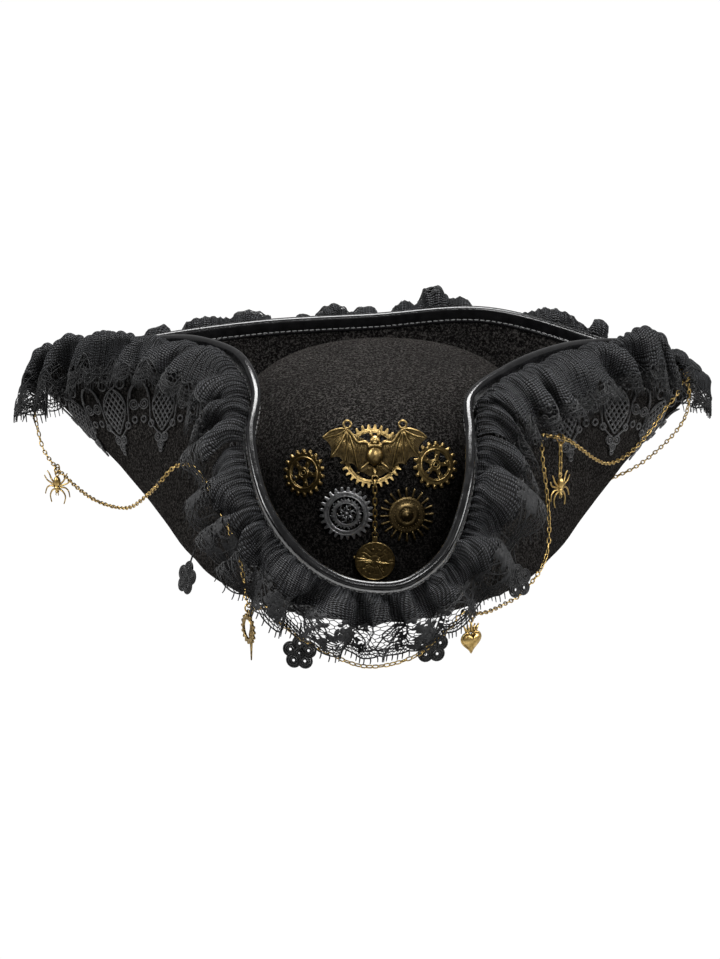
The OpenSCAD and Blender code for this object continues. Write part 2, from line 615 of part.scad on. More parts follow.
// The right spider hangs lower than the left one, on a short length of chain fixed to it.
spider_links = 5;
spider_hook = loop_wire + link_wire + 0.02;
spider_drop = spider_links * link_pitch - spider_hook - ring_gap;
module left_spider_ring() { charm_ring(LEFT_SPIDER_AT); }
module left_spider() { charm_body(LEFT_SPIDER_AT) spider(); }
module right_spider_ring() { charm_ring(RIGHT_SPIDER_AT); }
module right_spider() {
    charm_body(RIGHT_SPIDER_AT) {
        color("gold") for (i = [0 : spider_links - 1])
            translate(below([0, 0, 0], link_half + link_end + i * link_pitch - spider_hook))
                chain_link(i % 2 == 0 ? 0 : 90);
        translate(below([0, 0, 0], spider_drop)) {
            color("gold") translate([0, 0, -charm_loop_r]) ring(charm_loop_r, loop_wire, 90);
            translate([0, 0, -2 * charm_loop_r]) spider();
        }
    }
}

function heart_outline(k) = [for (a = [0 : 10 : 350])
    [k * 16 * pow(sin(a), 3), k * (13 * cos(a) - 5 * cos(2 * a) - 2 * cos(3 * a) - cos(4 * a))]];
module heart_ring() { charm_ring(HEART_AT); }
module heart_charm() {
    charm_body(HEART_AT) color("darkgoldenrod") {
        translate([0, 0, -10.5]) rotate([90, 0, 0]) {
            translate([0, 0, -1.5]) linear_extrude(height = 3) polygon(heart_outline(0.375));
            translate([0, 0, -2.4]) linear_extrude(height = 4.8) polygon(heart_outline(0.28));
        }
        for (i = [-1 : 1]) translate([2.6 * i, 0, -4.2]) rotate([0, 16 * i, 0])
            cylinder(h = 4, r1 = 1.1, r2 = 0.5, $fn = 20);
        translate([0, 0, -8.8]) cylinder(h = 5, r = 2.4, $fn = 30);
    }
}

module clock_ring() { charm_ring(CLOCK_AT); }
// The two clock charms share a ring, side by side on its lower wire.
clock_apart = 0.8;
clock_lift = 0.3;
module clock_charm(side) {
    turn = turn_of(CLOCK_AT);
    translate([-sin(turn), cos(turn), 0] * clock_apart * side + [0, 0, clock_lift])
        charm_body(CLOCK_AT) children();
}
module clock_gear_charm() {
    color("darkgoldenrod") clock_charm(-1) translate([0, 0.6, -8]) rotate([90, 0, 0])
        linear_extrude(height = 1.2) difference() {
            polygon(toothed(7, 8.4, 16, 0.5));
            circle(5.2, $fn = 40);
        }
}
module clock_hand_charm() {
    color("goldenrod") clock_charm(1) translate([0, 0.5, 0]) rotate([90, 0, 0])
        linear_extrude(height = 1) polygon([[-0.6, 0.4], [0.6, 0.4], [0.8, -8], [2.4, -12],
            [0.9, -17], [0, -26], [-0.9, -17], [-2.4, -12], [-0.8, -8]]);
}

felt_crown();
felt_brim();
sweatband();
sweatband_stitches();
edge_binding();
binding_stitches();
ruffle_front();
ruffle_left();
ruffle_back();
ruffle_right();
guipure_left();
guipure_right();
guipure_flowers();
chain_left_tip();
chain_left_front();
chain_front();
chain_right_front();
chain_right_wing();
chain_right_back();
chain_tacks();
bat_gear();
bat_pendant();
left_gear();
right_gear();
silver_gear();
silver_gear_star();
sun_gear();
ornament_stitches();
pendant_ring();
pendant_chain();
medallion_ring();
medallion();
left_spider_ring();
left_spider();
right_spider_ring();
right_spider();
heart_ring();
heart_charm();
clock_ring();
clock_gear_charm();
clock_hand_charm();
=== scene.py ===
"""Tricorn pirate hat: felt, bound edge, gathered lace ruffle, guipure trim, chains and castings.

Shapes are worked out in millimetres in the CAD frame and written to the meshes in metres.
"""

import math

import bpy
import numpy as np
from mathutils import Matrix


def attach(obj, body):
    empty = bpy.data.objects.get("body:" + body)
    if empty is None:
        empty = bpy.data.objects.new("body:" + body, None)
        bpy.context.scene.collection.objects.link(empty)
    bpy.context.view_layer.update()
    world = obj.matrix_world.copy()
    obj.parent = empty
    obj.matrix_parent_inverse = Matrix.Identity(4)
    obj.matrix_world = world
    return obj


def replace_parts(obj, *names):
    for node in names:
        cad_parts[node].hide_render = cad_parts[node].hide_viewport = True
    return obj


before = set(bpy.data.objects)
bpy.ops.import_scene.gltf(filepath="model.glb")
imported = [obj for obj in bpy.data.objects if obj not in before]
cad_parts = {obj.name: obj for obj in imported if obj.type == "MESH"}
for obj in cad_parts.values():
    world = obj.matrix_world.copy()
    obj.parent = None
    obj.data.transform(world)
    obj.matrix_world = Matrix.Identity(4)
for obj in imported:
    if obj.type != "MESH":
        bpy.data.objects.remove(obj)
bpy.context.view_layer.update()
scene = bpy.context.scene
MM = 0.001
UP = np.array([0.0, 0.0, 1.0])
ALONG_X = np.array([1.0, 0.0, 0.0])
ALONG_Y = np.array([0.0, 1.0, 0.0])

# ---- camera
AIM_DISTANCE = 2.3
ELEVATION = math.radians(18)
camera_data = bpy.data.cameras.new("camera")
camera = bpy.data.objects.new("camera", camera_data)
scene.collection.objects.link(camera)
camera.location = (0, -AIM_DISTANCE * math.cos(ELEVATION), AIM_DISTANCE * math.sin(ELEVATION))
camera.rotation_euler = (math.pi / 2 - ELEVATION, 0, 0)
camera_data.sensor_width = 36
camera_data.lens = 152.8
camera_data.shift_x = -0.0125
camera_data.shift_y = 0.0662
scene.camera = camera


# ---- vectors, splines, meshes
def unit(v):
    return v / np.maximum(np.linalg.norm(v, axis=-1, keepdims=True), 1e-9)


def around(n):
    """n even angles round a full turn."""
    return 2 * np.pi * np.arange(n) / n


def polar(r, a):
    return np.stack([r * np.cos(a), r * np.sin(a)], -1)


def spline(rows, t, period=None):
    """Catmull-Rom line through rows at t.

    With a period the line is closed, and the first column grows by it each time round.
    """
    t = np.asarray(t, float)
    n = len(rows)
    i = np.floor(t).astype(int)
    if period is None:
        i = np.clip(i, 0, n - 2)
    u = (t - i)[..., None]
    points = []
    for k in (-1, 0, 1, 2):
        if period is None:
            points.append(rows[np.clip(i + k, 0, n - 1)])
        else:
            row = rows[(i + k) % n].copy()
            row[..., 0] += period * np.floor_divide(i + k, n)
            points.append(row)
    a, b, c, d = points
    return 0.5 * (
        2 * b + (c - a) * u + (2 * a - 5 * b + 4 * c - d) * u**2 + (3 * b - a - 3 * c + d) * u**3
    )


def grid_faces(rows, columns, wrap_rows=False, wrap_columns=False):
    index = np.arange(rows * columns).reshape(rows, columns)
    if wrap_rows:
        index = np.vstack([index, index[:1]])
    if wrap_columns:
        index = np.hstack([index, index[:, :1]])
    corners = [index[:-1, :-1], index[:-1, 1:], index[1:, 1:], index[1:, :-1]]
    return np.stack(corners, -1).reshape(-1, 4)


def surface(points, wrap_rows=False, wrap_columns=False, flip=False, caps=()):
    """One part from a grid of points; each cap is a row of the corners' numbers."""
    faces = grid_faces(*points.shape[:2], wrap_rows, wrap_columns)
    return points.reshape(-1, 3), [faces[:, ::-1] if flip else faces, *caps]


def tubes(lines, up, radius, sides=4, closed=False):
    """One part holding a tube along each of m lines of n points; up sets the roll of its sides."""
    lines = np.asarray(lines, float)
    if lines.ndim == 2:
        lines = lines[None]
    up = np.broadcast_to(np.asarray(up, float), lines.shape)
    m, n = lines.shape[:2]
    if closed:
        along = np.roll(lines, -1, 1) - np.roll(lines, 1, 1)
    else:
        along = np.gradient(lines, axis=1)
    along = unit(along)
    side = unit(np.cross(along, up))
    over = np.cross(side, along)
    turn = around(sides)
    radius = np.broadcast_to(np.asarray(radius, float), (m, n))[..., None, None]
    ring = lines[:, :, None] + radius * (
        np.cos(turn)[:, None] * side[:, :, None] + np.sin(turn)[:, None] * over[:, :, None]
    )
    index = np.arange(m * n * sides).reshape(m, n, sides)
    ahead = np.roll(index, -1, 2)
    if closed:
        quads = np.stack([index, ahead, np.roll(ahead, -1, 1), np.roll(index, -1, 1)], -1)
        return ring.reshape(-1, 3), [quads.reshape(-1, 4)]
    quads = np.stack([index[:, :-1], ahead[:, :-1], ahead[:, 1:], index[:, 1:]], -1)
    return ring.reshape(-1, 3), [quads.reshape(-1, 4), index[:, 0, ::-1], index[:, -1]]


def ball(centre, radii, rows=14, columns=24, bump=0.0):
    """Ellipsoid as a grid, its poles along Z."""
    v = np.linspace(0.02, np.pi - 0.02, rows)[:, None]
    a = around(columns)[None]
    k = 1 + bump * np.sin(5 * a) * np.sin(6 * v)
    p = np.stack([np.sin(v) * np.cos(a) * k, np.sin(v) * np.sin(a) * k, np.cos(v) + 0 * a], -1)
    top = np.arange(columns)[None]
    low = (rows - 1) * columns + top[:, ::-1]
    points = p * np.asarray(radii) + np.asarray(centre)
    return surface(points, wrap_columns=True, flip=True, caps=[top, low])


def lathe(profile, segments=48):
    """Turns [radius, z] rows about Z."""
    profile = np.asarray(profile, float)
    a = around(segments)[None]
    r, z = profile[:, :1], profile[:, 1:]
    points = np.stack([r * np.cos(a), r * np.sin(a), z + 0 * a], -1)
    return surface(points, wrap_columns=True, flip=True)


def torus(r, wire, z=0.0, points=48, sides=8):
    a = around(points)
    return tubes(np.stack([r * np.cos(a), r * np.sin(a), 0 * a + z], 1), UP, wire, sides, True)


def plate(outlines, thick, bevel):
    """Flat plate from an outline and its holes, with rounded edges, standing on z = 0."""
    curve = bpy.data.curves.new("outline", "CURVE")
    curve.dimensions = "2D"
    curve.fill_mode = "BOTH"
    curve.extrude = thick / 2 - bevel
    curve.bevel_depth = bevel
    curve.bevel_resolution = 1
    curve.offset = -bevel
    for outline in outlines:
        outline = np.asarray(outline, float)
        line = curve.splines.new("POLY")
        line.points.add(len(outline) - 1)
        flat = np.concatenate([outline, np.zeros((len(outline), 1)), np.ones((len(outline), 1))], 1)
        line.points.foreach_set("co", flat.ravel())
        line.use_cyclic_u = True
    shape = bpy.data.objects.new("outline", curve)
    scene.collection.objects.link(shape)
    mesh = bpy.data.meshes.new_from_object(
        shape.evaluated_get(bpy.context.evaluated_depsgraph_get())
    )
    verts = np.empty(len(mesh.vertices) * 3)
    mesh.vertices.foreach_get("co", verts)
    faces = {}
    for polygon in mesh.polygons:
        faces.setdefault(len(polygon.vertices), []).append(list(polygon.vertices))
    bpy.data.objects.remove(shape)
    bpy.data.curves.remove(curve)
    bpy.data.meshes.remove(mesh)
    verts = verts.reshape(-1, 3)
    verts[:, 2] += thick / 2
    return verts, [np.array(f) for f in faces.values()]


def moved(part, matrix):
    """A part turned and shifted by a 4x4 matrix."""
    verts, faces = part
    return verts @ matrix[:3, :3].T + matrix[:3, 3], faces


def placed(parts, matrix):
    return [moved(part, matrix) for part in parts]


def turned(axis, degrees, at=(0, 0, 0)):
    """4x4 matrix of a turn about X, Y or Z, followed by a shift."""
    a = math.radians(degrees)
    i, j = {"X": (1, 2), "Y": (2, 0), "Z": (0, 1)}[axis]
    matrix = np.eye(4)
    matrix[i, i] = matrix[j, j] = math.cos(a)
    matrix[j, i], matrix[i, j] = math.sin(a), -math.sin(a)
    matrix[:3, 3] = at
    return matrix


def make(name, parts, material, body="hat", uv=None):
    """Builds one object from parts given in millimetres, and puts it on its body."""
    verts, loops, starts = [], [], []
    base = count = 0
    for part_verts, part_faces in parts:
        for faces in part_faces:
            faces = np.asarray(faces)
            loops.append((faces + base).ravel())
            starts.append(count + np.arange(len(faces)) * faces.shape[1])
            count += faces.size
        verts.append(part_verts)
        base += len(part_verts)
    verts, loops, starts = np.concatenate(verts), np.concatenate(loops), np.concatenate(starts)
    mesh = bpy.data.meshes.new(name)
    mesh.vertices.add(len(verts))
    mesh.vertices.foreach_set("co", (verts * MM).ravel())
    mesh.loops.add(len(loops))
    mesh.loops.foreach_set("vertex_index", loops)
    mesh.polygons.add(len(starts))
    mesh.polygons.foreach_set("loop_start", starts)
    mesh.polygons.foreach_set("use_smooth", np.ones(len(starts), bool))
    if uv is not None:
        layer = mesh.uv_layers.new(name="strip")
        layer.data.foreach_set("uv", np.asarray(uv)[loops].ravel())
    mesh.update(calc_edges=True)
    mesh.validate()
    piece = bpy.data.objects.new(name, mesh)
    scene.collection.objects.link(piece)
    mesh.materials.append(material)
    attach(piece, body)
    return piece


# ---- materials
class Nodes:
    """Short names for building a node material."""

    def __init__(self, name):
        self.material = bpy.data.materials.new(name)
        self.material.use_nodes = True
        self.tree = self.material.node_tree
        self.shader = self.tree.nodes["Principled BSDF"]

    def add(self, kind, **values):
        node = self.tree.nodes.new(kind)
        for key, value in values.items():
            setattr(node, key, value)
        return node

    def link(self, out, into):
        self.tree.links.new(out, into)

    def put(self, **values):
        for key, value in values.items():
            self.shader.inputs[key.replace("_", " ")].default_value = value

    def coords(self, kind="Object"):
        return self.add("ShaderNodeTexCoord").outputs[kind]

    def noise(self, scale, detail=4, rough=0.6, vector=None):
        node = self.add("ShaderNodeTexNoise")
        node.inputs["Scale"].default_value = scale
        node.inputs["Detail"].default_value = detail
        node.inputs["Roughness"].default_value = rough
        self.link(vector or self.coords(), node.inputs["Vector"])
        return node.outputs["Fac"]

    def ramp(self, value, stops):
        node = self.add("ShaderNodeValToRGB")
        ramp = node.color_ramp
        while len(ramp.elements) < len(stops):
            ramp.elements.new(0.5)
        for element, (place, colour) in zip(ramp.elements, stops):
            element.position = place
            element.color = (*colour, 1) if isinstance(colour, tuple) else (colour,) * 3 + (1,)
        self.link(value, node.inputs["Fac"])
        return node.outputs["Color"]

    def math(self, operation, a, b=None):
        node = self.add("ShaderNodeMath", operation=operation)
        for socket, value in zip(node.inputs, (a, b)):
            if value is None:
                continue
            if isinstance(value, (int, float)):
                socket.default_value = value
            else:
                self.link(value, socket)
        return node.outputs[0]

    def mix(self, a, b, fac, blend="MIX"):
        node = self.add("ShaderNodeMix", data_type="RGBA", blend_type=blend)
        for socket, value in zip((node.inputs[0], node.inputs[6], node.inputs[7]), (fac, a, b)):
            if isinstance(value, (int, float)):
                socket.default_value = value
            elif isinstance(value, tuple):
                socket.default_value = (*value, 1)
            else:
                self.link(value, socket)
        return node.outputs[2]

    def bump(self, height, distance, strength=1.0, under=None):
        node = self.add("ShaderNodeBump")
        node.inputs["Distance"].default_value = distance
        node.inputs["Strength"].default_value = strength
        self.link(height, node.inputs["Height"])
        if under is not None:
            self.link(under, node.inputs["Normal"])
        return node.outputs["Normal"]

    def finish(self, colour=None, rough=None, normal=None):
        for value, name in ((colour, "Base Color"), (rough, "Roughness"), (normal, "Normal")):
            if value is not None:
                self.link(value, self.shader.inputs[name])
        return self.material


def felt_material():
    """Wool felt: near black fibres flecked with brown grey, soft nap and fine pits."""
    n = Nodes("wool_felt")
    grain = n.noise(780, 4, 0.85)
    fibre = n.noise(1700, 3, 0.7)
    cloud = n.noise(26, 3, 0.5)
    black, grey, brown = (0.0004, 0.0004, 0.0005), (0.0055, 0.0056, 0.0058), (0.065, 0.0605, 0.057)
    flecks = n.ramp(grain, [(0.42, black), (0.5, grey), (0.6, brown)])
    colour = n.mix(flecks, (0.004, 0.004, 0.0042), n.ramp(cloud, [(0.35, 0.0), (0.7, 0.3)]))
    n.put(Sheen_Weight=0.03, Sheen_Roughness=0.5, Specular_IOR_Level=0.0)
    n.shader.inputs["Sheen Tint"].default_value = (0.62, 0.55, 0.48, 1)
    normal = n.bump(grain, 0.0016, 1.0, n.bump(fibre, 0.0005, 0.8))
    return n.finish(colour, n.ramp(fibre, [(0.3, 0.85), (0.7, 1.0)]), normal)


def leather_material():
    n = Nodes("leatherette")
    cells = n.add("ShaderNodeTexVoronoi", feature="DISTANCE_TO_EDGE")
    cells.inputs["Scale"].default_value = 1100
    n.link(n.coords(), cells.inputs["Vector"])
    creases = n.noise(160, 4, 0.6)
    colour = n.ramp(creases, [(0.3, (0.002, 0.002, 0.0022)), (0.75, (0.007, 0.007, 0.0075))])
    rough = n.ramp(creases, [(0.3, 0.13), (0.7, 0.24)])
    n.put(Coat_Weight=0.25, Coat_Roughness=0.06, Specular_IOR_Level=0.32)
    normal = n.bump(cells.outputs["Distance"], 0.0002, 0.35, n.bump(creases, 0.0006, 0.35))
    return n.finish(colour, rough, normal)


def knit_material():
    """Fine ribs parallel to the edge, broken into stitches, from the strip's own coordinates."""
    n = Nodes("knit_lace")
    split = n.add("ShaderNodeSeparateXYZ")
    n.link(n.coords("UV"), split.inputs[0])
    along, across = split.outputs[0], split.outputs[1]
    wander = n.noise(0.11, 2, 0.5, n.coords("UV"))
    across = n.math("ADD", across, n.math("MULTIPLY", wander, 5.0))
    rib = n.math("SINE", n.math("MULTIPLY", across, 2 * math.pi / 1.2))
    step = n.math("SINE", n.math("MULTIPLY", along, 2 * math.pi / 1.5))
    loop = n.math("MULTIPLY", n.math("ADD", rib, 1.0), n.math("ADD", step, 1.7))
    wear = n.noise(0.8, 4, 0.75, n.coords("UV"))
    height = n.math("MULTIPLY", loop, n.math("ADD", wear, 0.3))
    # Colour follows the rib height: painted shade in the low valleys between the ribs, painted
    # highlight on the raised crests.
    painted_valley_shade, middle, raised_bright = (0.0001, 0.0001, 0.0002), (0.0045, 0.0047, 0.0052), (0.075, 0.077, 0.083)
    rib_light_and_shade = [(0.12, painted_valley_shade), (0.5, middle), (0.95, raised_bright)]
    colour = n.ramp(n.math("MULTIPLY", height, 0.27), rib_light_and_shade)
    # Ambient occlusion paints shade into the ruffle's folds and hollows by mixing in near black.
    fold_shade_ao = n.add("ShaderNodeAmbientOcclusion", samples=4)
    fold_shade_ao.inputs["Distance"].default_value = 0.012
    unshaded = n.ramp(fold_shade_ao.outputs["AO"], [(0.3, 0.0), (0.85, 1.0)])
    colour = n.mix((0.0008, 0.0008, 0.001), colour, unshaded)
    n.put(Sheen_Weight=0.05, Sheen_Roughness=0.25, Specular_IOR_Level=0.16)
    n.shader.inputs["Sheen Tint"].default_value = (0.8, 0.83, 0.9, 1)
    return n.finish(colour, n.ramp(wear, [(0.3, 0.42), (0.7, 0.65)]), n.bump(height, 0.0005, 0.9))


def thread_material(name, dark, light, rough, sheen, scale=900, relief=0.0003):
    """Twisted thread; dark and light are colours or plain greys."""
    n = Nodes(name)
    twist = n.noise(scale, 3, 0.6)
    colour = n.ramp(twist, [(0.3, dark), (0.75, light)])
    n.put(Sheen_Weight=sheen, Sheen_Roughness=0.3, Specular_IOR_Level=0.3)
    rough = n.ramp(twist, [(0.3, rough), (0.7, rough + 0.2)])
    return n.finish(colour, rough, n.bump(twist, relief, 0.6))


def metal_material(name, dark, base, bright, rough):
    """Old casting: patina in the hollows, rubbed bright on the high places."""
    n = Nodes(name)
    hollow = n.add("ShaderNodeAmbientOcclusion", samples=6)
    hollow.inputs["Distance"].default_value = 0.0022
    patches = n.noise(420, 5, 0.65)
    fine = n.noise(2600, 3, 0.6)
    colour = n.ramp(patches, [(0.32, base), (0.72, bright)])
    raised_bright = n.ramp(hollow.outputs["AO"], [(0.35, 0.0), (0.85, 1.0)])
    colour = n.mix(dark, colour, raised_bright)
    n.put(Metallic=1.0)
    roughness = n.ramp(patches, [(0.3, rough + 0.16), (0.7, rough)])
    return n.finish(colour, roughness, n.bump(patches, 0.0002, 0.3, n.bump(fine, 0.0001, 0.25)))


def ribbon_material():
    n = Nodes("grosgrain")
    wave = n.add("ShaderNodeTexWave", bands_direction="Y")
    wave.inputs["Scale"].default_value = 260
    wave.inputs["Distortion"].default_value = 0.6
    n.link(n.coords("UV"), wave.inputs["Vector"])
    shade = n.noise(300, 3)
    colour = n.mix(
        n.ramp(wave.outputs["Fac"], [(0.2, (0.004, 0.004, 0.004)), (0.9, (0.02, 0.018, 0.017))]),
        (0.012, 0.011, 0.011),
        n.ramp(shade, [(0.3, 0.0), (0.8, 0.5)]),
    )
    n.put(Sheen_Weight=0.3)
    rough = n.ramp(shade, [(0.3, 0.5), (0.7, 0.7)])
    return n.finish(colour, rough, n.bump(wave.outputs["Fac"], 0.0004, 0.8))


FELT = felt_material()
LEATHER = leather_material()
KNIT = knit_material()
LACE = thread_material("lace_thread", (0.001, 0.001, 0.0012), (0.008, 0.0083, 0.009), 0.42, 0.08)
FLORAL = thread_material(
    "lace_ground", (0.0001, 0.0001, 0.0002), (0.02, 0.0205, 0.022), 0.45, 0.05, 750, 0.0011
)
GUIPURE = thread_material("guipure_cord", 0.008, (0.085, 0.085, 0.087), 0.24, 0.25, 1300)
FLOWER = thread_material(
    "guipure_flower_cord", 0.0008, (0.022, 0.022, 0.023), 0.3, 0.1, 1100, 0.0006
)
GREY_THREAD = thread_material("grey_thread", 0.08, 0.26, 0.6, 0.2)
BLACK_THREAD = thread_material("black_thread", 0.004, 0.02, 0.55, 0.2)
GOLD = metal_material(
    "antique_gold", (0.016, 0.01, 0.005), (0.26, 0.168, 0.055), (0.82, 0.58, 0.22), 0.26
)
BRASS = metal_material(
    "antique_brass", (0.01, 0.007, 0.003), (0.1, 0.066, 0.024), (0.64, 0.455, 0.185), 0.27
)
BRONZE = metal_material(
    "dark_bronze", (0.008, 0.006, 0.004), (0.05, 0.035, 0.016), (0.3, 0.215, 0.095), 0.32
)
SILVER = metal_material(
    "antique_silver", (0.01, 0.01, 0.01), (0.13, 0.13, 0.132), (0.68, 0.68, 0.69), 0.28
)
RIBBON = ribbon_material()

# ---- chains
CHAINS = {
    "chain_left_tip": [[-199, 116, 47], [-197, 114, 34], [-192, 106, 21], [-178, 80, 14],
                       [-159, 40, 13], [-138, -4, 22], [-124, -36, 40], [-115, -62, 56]],
    "chain_left_front": [[-115, -62, 56], [-108, -71, 66], [-100, -81, 71], [-92, -92, 68],
                         [-83, -106, 57], [-75, -120, 43], [-69, -131, 27], [-67, -137, 15],
                         [-65, -143, 11], [-61, -149, 12], [-56, -155, 15]],
    "chain_front": [[-56, -155, 15], [-44, -168, 7], [-28, -178, 0], [-4, -184, -8],
                    [20, -180, -5], [36, -171, 4], [48, -158, 13]],
    "chain_right_front": [[48, -158, 13], [54, -146, 8], [62, -131, 4], [71, -113, 2],
                          [79, -100, 2], [86, -88, 5], [92, -78, 10], [96, -70, 18],
                          [97, -65, 28], [96.5, -62, 40], [95, -62, 54], [93, -62, 69],
                          [92.5, -62, 82]],
    "chain_right_wing": [[92.5, -62, 82], [106, -46, 75], [115, -30, 65], [124, -10, 53],
                         [132, 10, 44], [140, 26, 41], [150, 42, 43], [160, 56, 50],
                         [169, 66, 60], [177, 71, 69], [180, 73, 78]],
    "chain_right_back": [[180, 73, 78], [183.5, 79.5, 66], [182.4, 88.4, 49], [175, 100, 32.5],
                         [161, 114, 14], [148, 126, 2], [132, 140, -8], [108, 152, -10],
                         [80, 158, 2], [58, 158, 22], [46, 156, 46], [42, 152, 68]],
}
CHAINS = {name: np.array(rows, float) for name, rows in CHAINS.items()}
CHAIN_D = 2.6
LINK_PITCH = 3.05
LINK_WIRE = 0.37
LINK_ROLLS = (48, -42)  # each link is turned across the last, in degrees


def even_places(line, pitch):
    """Centres and directions at an even pitch along a dense line of points."""
    steps = np.linalg.norm(np.diff(line, axis=0), axis=1)
    far = np.concatenate([[0], np.cumsum(steps)])
    count = max(1, int(round(far[-1] / pitch)))
    where = (np.arange(count) + 0.5) * far[-1] / count
    behind, at, ahead = (
        np.stack([np.interp(where + step, far, column) for column in line.T], 1)
        for step in (-0.4, 0, 0.4)
    )
    return at, unit(ahead - behind), far[-1]


def link_chain(line, jitter, seed):
    """Oval links along a line, each turned across the last but for a random jitter in degrees."""
    at, along, length = even_places(line, LINK_PITCH)
    count = len(at)
    rng = np.random.default_rng(seed)
    roll = np.radians(np.resize(LINK_ROLLS, count) + rng.normal(0, jitter, count))[:, None]
    flat = unit(np.cross(along, np.array([0.31, 0.17, 1.0])))
    other = np.cross(flat, along)
    wide_way = flat * np.cos(roll) + other * np.sin(roll)
    normal = np.cross(along, wide_way)
    points = 18
    half_wide = CHAIN_D / 2 - LINK_WIRE
    half_long = LINK_PITCH * 0.5 + LINK_WIRE * 0.95 - half_wide * 0.2
    turn = around(points)
    x = np.sign(np.cos(turn)) * np.abs(np.cos(turn)) ** 0.8 * half_long
    y = np.sin(turn) * half_wide
    lines = at[:, None] + x[None, :, None] * along[:, None] + y[None, :, None] * wide_way[:, None]
    normals = np.repeat(normal[:, None], points, 1)
    return tubes(lines, normals, LINK_WIRE, 7, closed=True), length


for k, (name, route) in enumerate(CHAINS.items()):
    line = spline(route, np.linspace(0, len(route) - 1, 40 * len(route)))
    part, length = link_chain(line, jitter=7, seed=20 + k)
    piece = make(name + "_links", [part], GOLD)
    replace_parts(piece, name)

KNOT_R = 3.6


def build_chain_knot():
    """The chain wound round itself where it turns at the right corner."""
    middle = CHAINS["chain_right_wing"][-1]
    a = np.linspace(0, 2 * np.pi, 40)
    parts = []
    turns = [[[0.9, -0.3, 0.3], [0, 0.3, 1]], [[0.5, -0.8, 0.2], [0.6, 0.5, -0.6]]]
    for k, ways in enumerate(turns):
        first, second = unit(np.array(ways))
        loop = middle + KNOT_R * (np.cos(a)[:, None] * first + np.sin(a)[:, None] * second)
        parts.append(link_chain(loop, jitter=9, seed=60 + k)[0])
    make("chain_knot", parts, GOLD)


build_chain_knot()

# ---- felt
HALF_W, HALF_L, CROWN_H, CROWN_POWER, CROWN_LEAN, FELT_T = 87.0, 106.0, 106.0, 4.2, 7.0, 3.0
EDGE = np.array([
    [0, 3, -183, 36], [12, -18, -181, 40], [22, -39, -172, 53], [31, -56, -153, 74],
    [40, -64, -124, 99], [50, -62, -96, 117], [62, -72, -62, 127], [76, -95, -22, 125],
    [90, -118, 14, 116], [103, -148, 46, 105], [115, -180, 80, 90], [125, -197, 108, 69],
    [134, -184, 124, 73], [148, -135, 130, 84], [164, -68, 133, 93], [180, 0, 134, 97],
    [196, 68, 133, 101], [212, 135, 129, 84], [226, 182, 122, 71], [235, 194, 106, 67],
    [245, 178, 79, 87], [257, 150, 48, 104], [270, 120, 12, 114], [284, 97, -26, 120],
    [298, 74, -64, 121], [310, 53, -97, 115], [320, 52, -122, 101], [330, 50, -148, 80],
    [340, 39, -170, 53], [350, 21, -181, 39]], float)
EDGE_N = len(EDGE)


def head_line(inset, a, z):
    """Points of the head line's oval, moved in by inset, at angle a from the front and height z."""
    return np.stack([-(HALF_W - inset) * np.sin(a), -(HALF_L - inset) * np.cos(a), z], -1)


def head_out(a):
    return unit(np.stack([-np.sin(a) / HALF_W, -np.cos(a) / HALF_L, 0 * a], -1))


def section(t):
    """The brim's section at t: base point, way to the edge, and the pulls at its two ends."""
    row = spline(EDGE, t, 360)
    a = np.radians(row[..., 0])
    base = head_line(0, a, np.full(a.shape, FELT_T / 2))
    out = head_out(a)
    way = row[..., 1:] - base
    reach = np.hypot(way[..., 0], way[..., 1])
    size = reach + way[..., 2]
    steep = way[..., 2] / size
    start = out * (0.75 * size + 25 + 0.2 * reach)[..., None]
    start[..., 2] -= 0.18 * size
    flat = 1.6 - 2 * steep
    return base, way, start, way * np.stack([flat, flat, np.full(flat.shape, 1.55)], -1)


def brim(t, s):
    t, s = np.broadcast_arrays(np.asarray(t, float), np.asarray(s, float))
    base, way, start, pull = section(t)
    s = s[..., None]
    s2, s3 = s * s, s * s * s
    return base + (3 * s2 - 2 * s3) * way + (s3 - 2 * s2 + s) * start + (s3 - s2) * pull


def brim_out(t, s):
    s = np.maximum(s, 0.012)
    return unit(np.cross(brim(t, s) - brim(t, s - 0.01), brim(t + 0.05, s) - brim(t - 0.05, s)))


def skin(t, s, off):
    return brim(t, s) + brim_out(t, s) * np.asarray(off, float)[..., None]


def near_edge(t, below):
    return 1 - below / np.linalg.norm(section(t)[3], axis=-1)


edge_t = np.linspace(0, EDGE_N, 3001)
edge_steps = np.linalg.norm(np.diff(brim(edge_t, 1.0), axis=0), axis=1)
edge_far = np.concatenate([[0], np.cumsum(edge_steps)])
EDGE_LENGTH = edge_far[-1]


def t_at(far):
    """The edge's t at a distance along it from the front corner."""
    laps = np.floor(far / EDGE_LENGTH)
    return np.interp(far - laps * EDGE_LENGTH, edge_far, edge_t) + laps * EDGE_N


def far_at(t):
    laps = np.floor(t / EDGE_N)
    return np.interp(t - laps * EDGE_N, edge_t, edge_far) + laps * EDGE_LENGTH


def waves(t, s):
    """Slight unevenness of hand-blocked felt, in millimetres."""
    t = t * 2 * np.pi / EDGE_N
    return (0.45 * np.sin(5 * t + 4 * s) + 0.35 * np.sin(11 * t - 5 * s + 1)) * s * (1.15 - s) * 2


def build_brim():
    t = np.linspace(0, EDGE_N, 420, endpoint=False)[:, None]
    s = np.concatenate([np.linspace(0, 0.97, 42), [0.985, 1.0]])[None]
    wave = waves(t, s)
    outer, inner = skin(t, s, FELT_T / 2 + wave), skin(t, s, wave - FELT_T / 2)
    loop = np.concatenate([outer, inner[:, ::-1]], 1)
    loop[:, 0, 2] = 0.0
    part = surface(loop, wrap_rows=True, wrap_columns=True, flip=True)
    piece = make("brim_felt", [part], FELT)
    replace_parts(piece, "felt_brim")


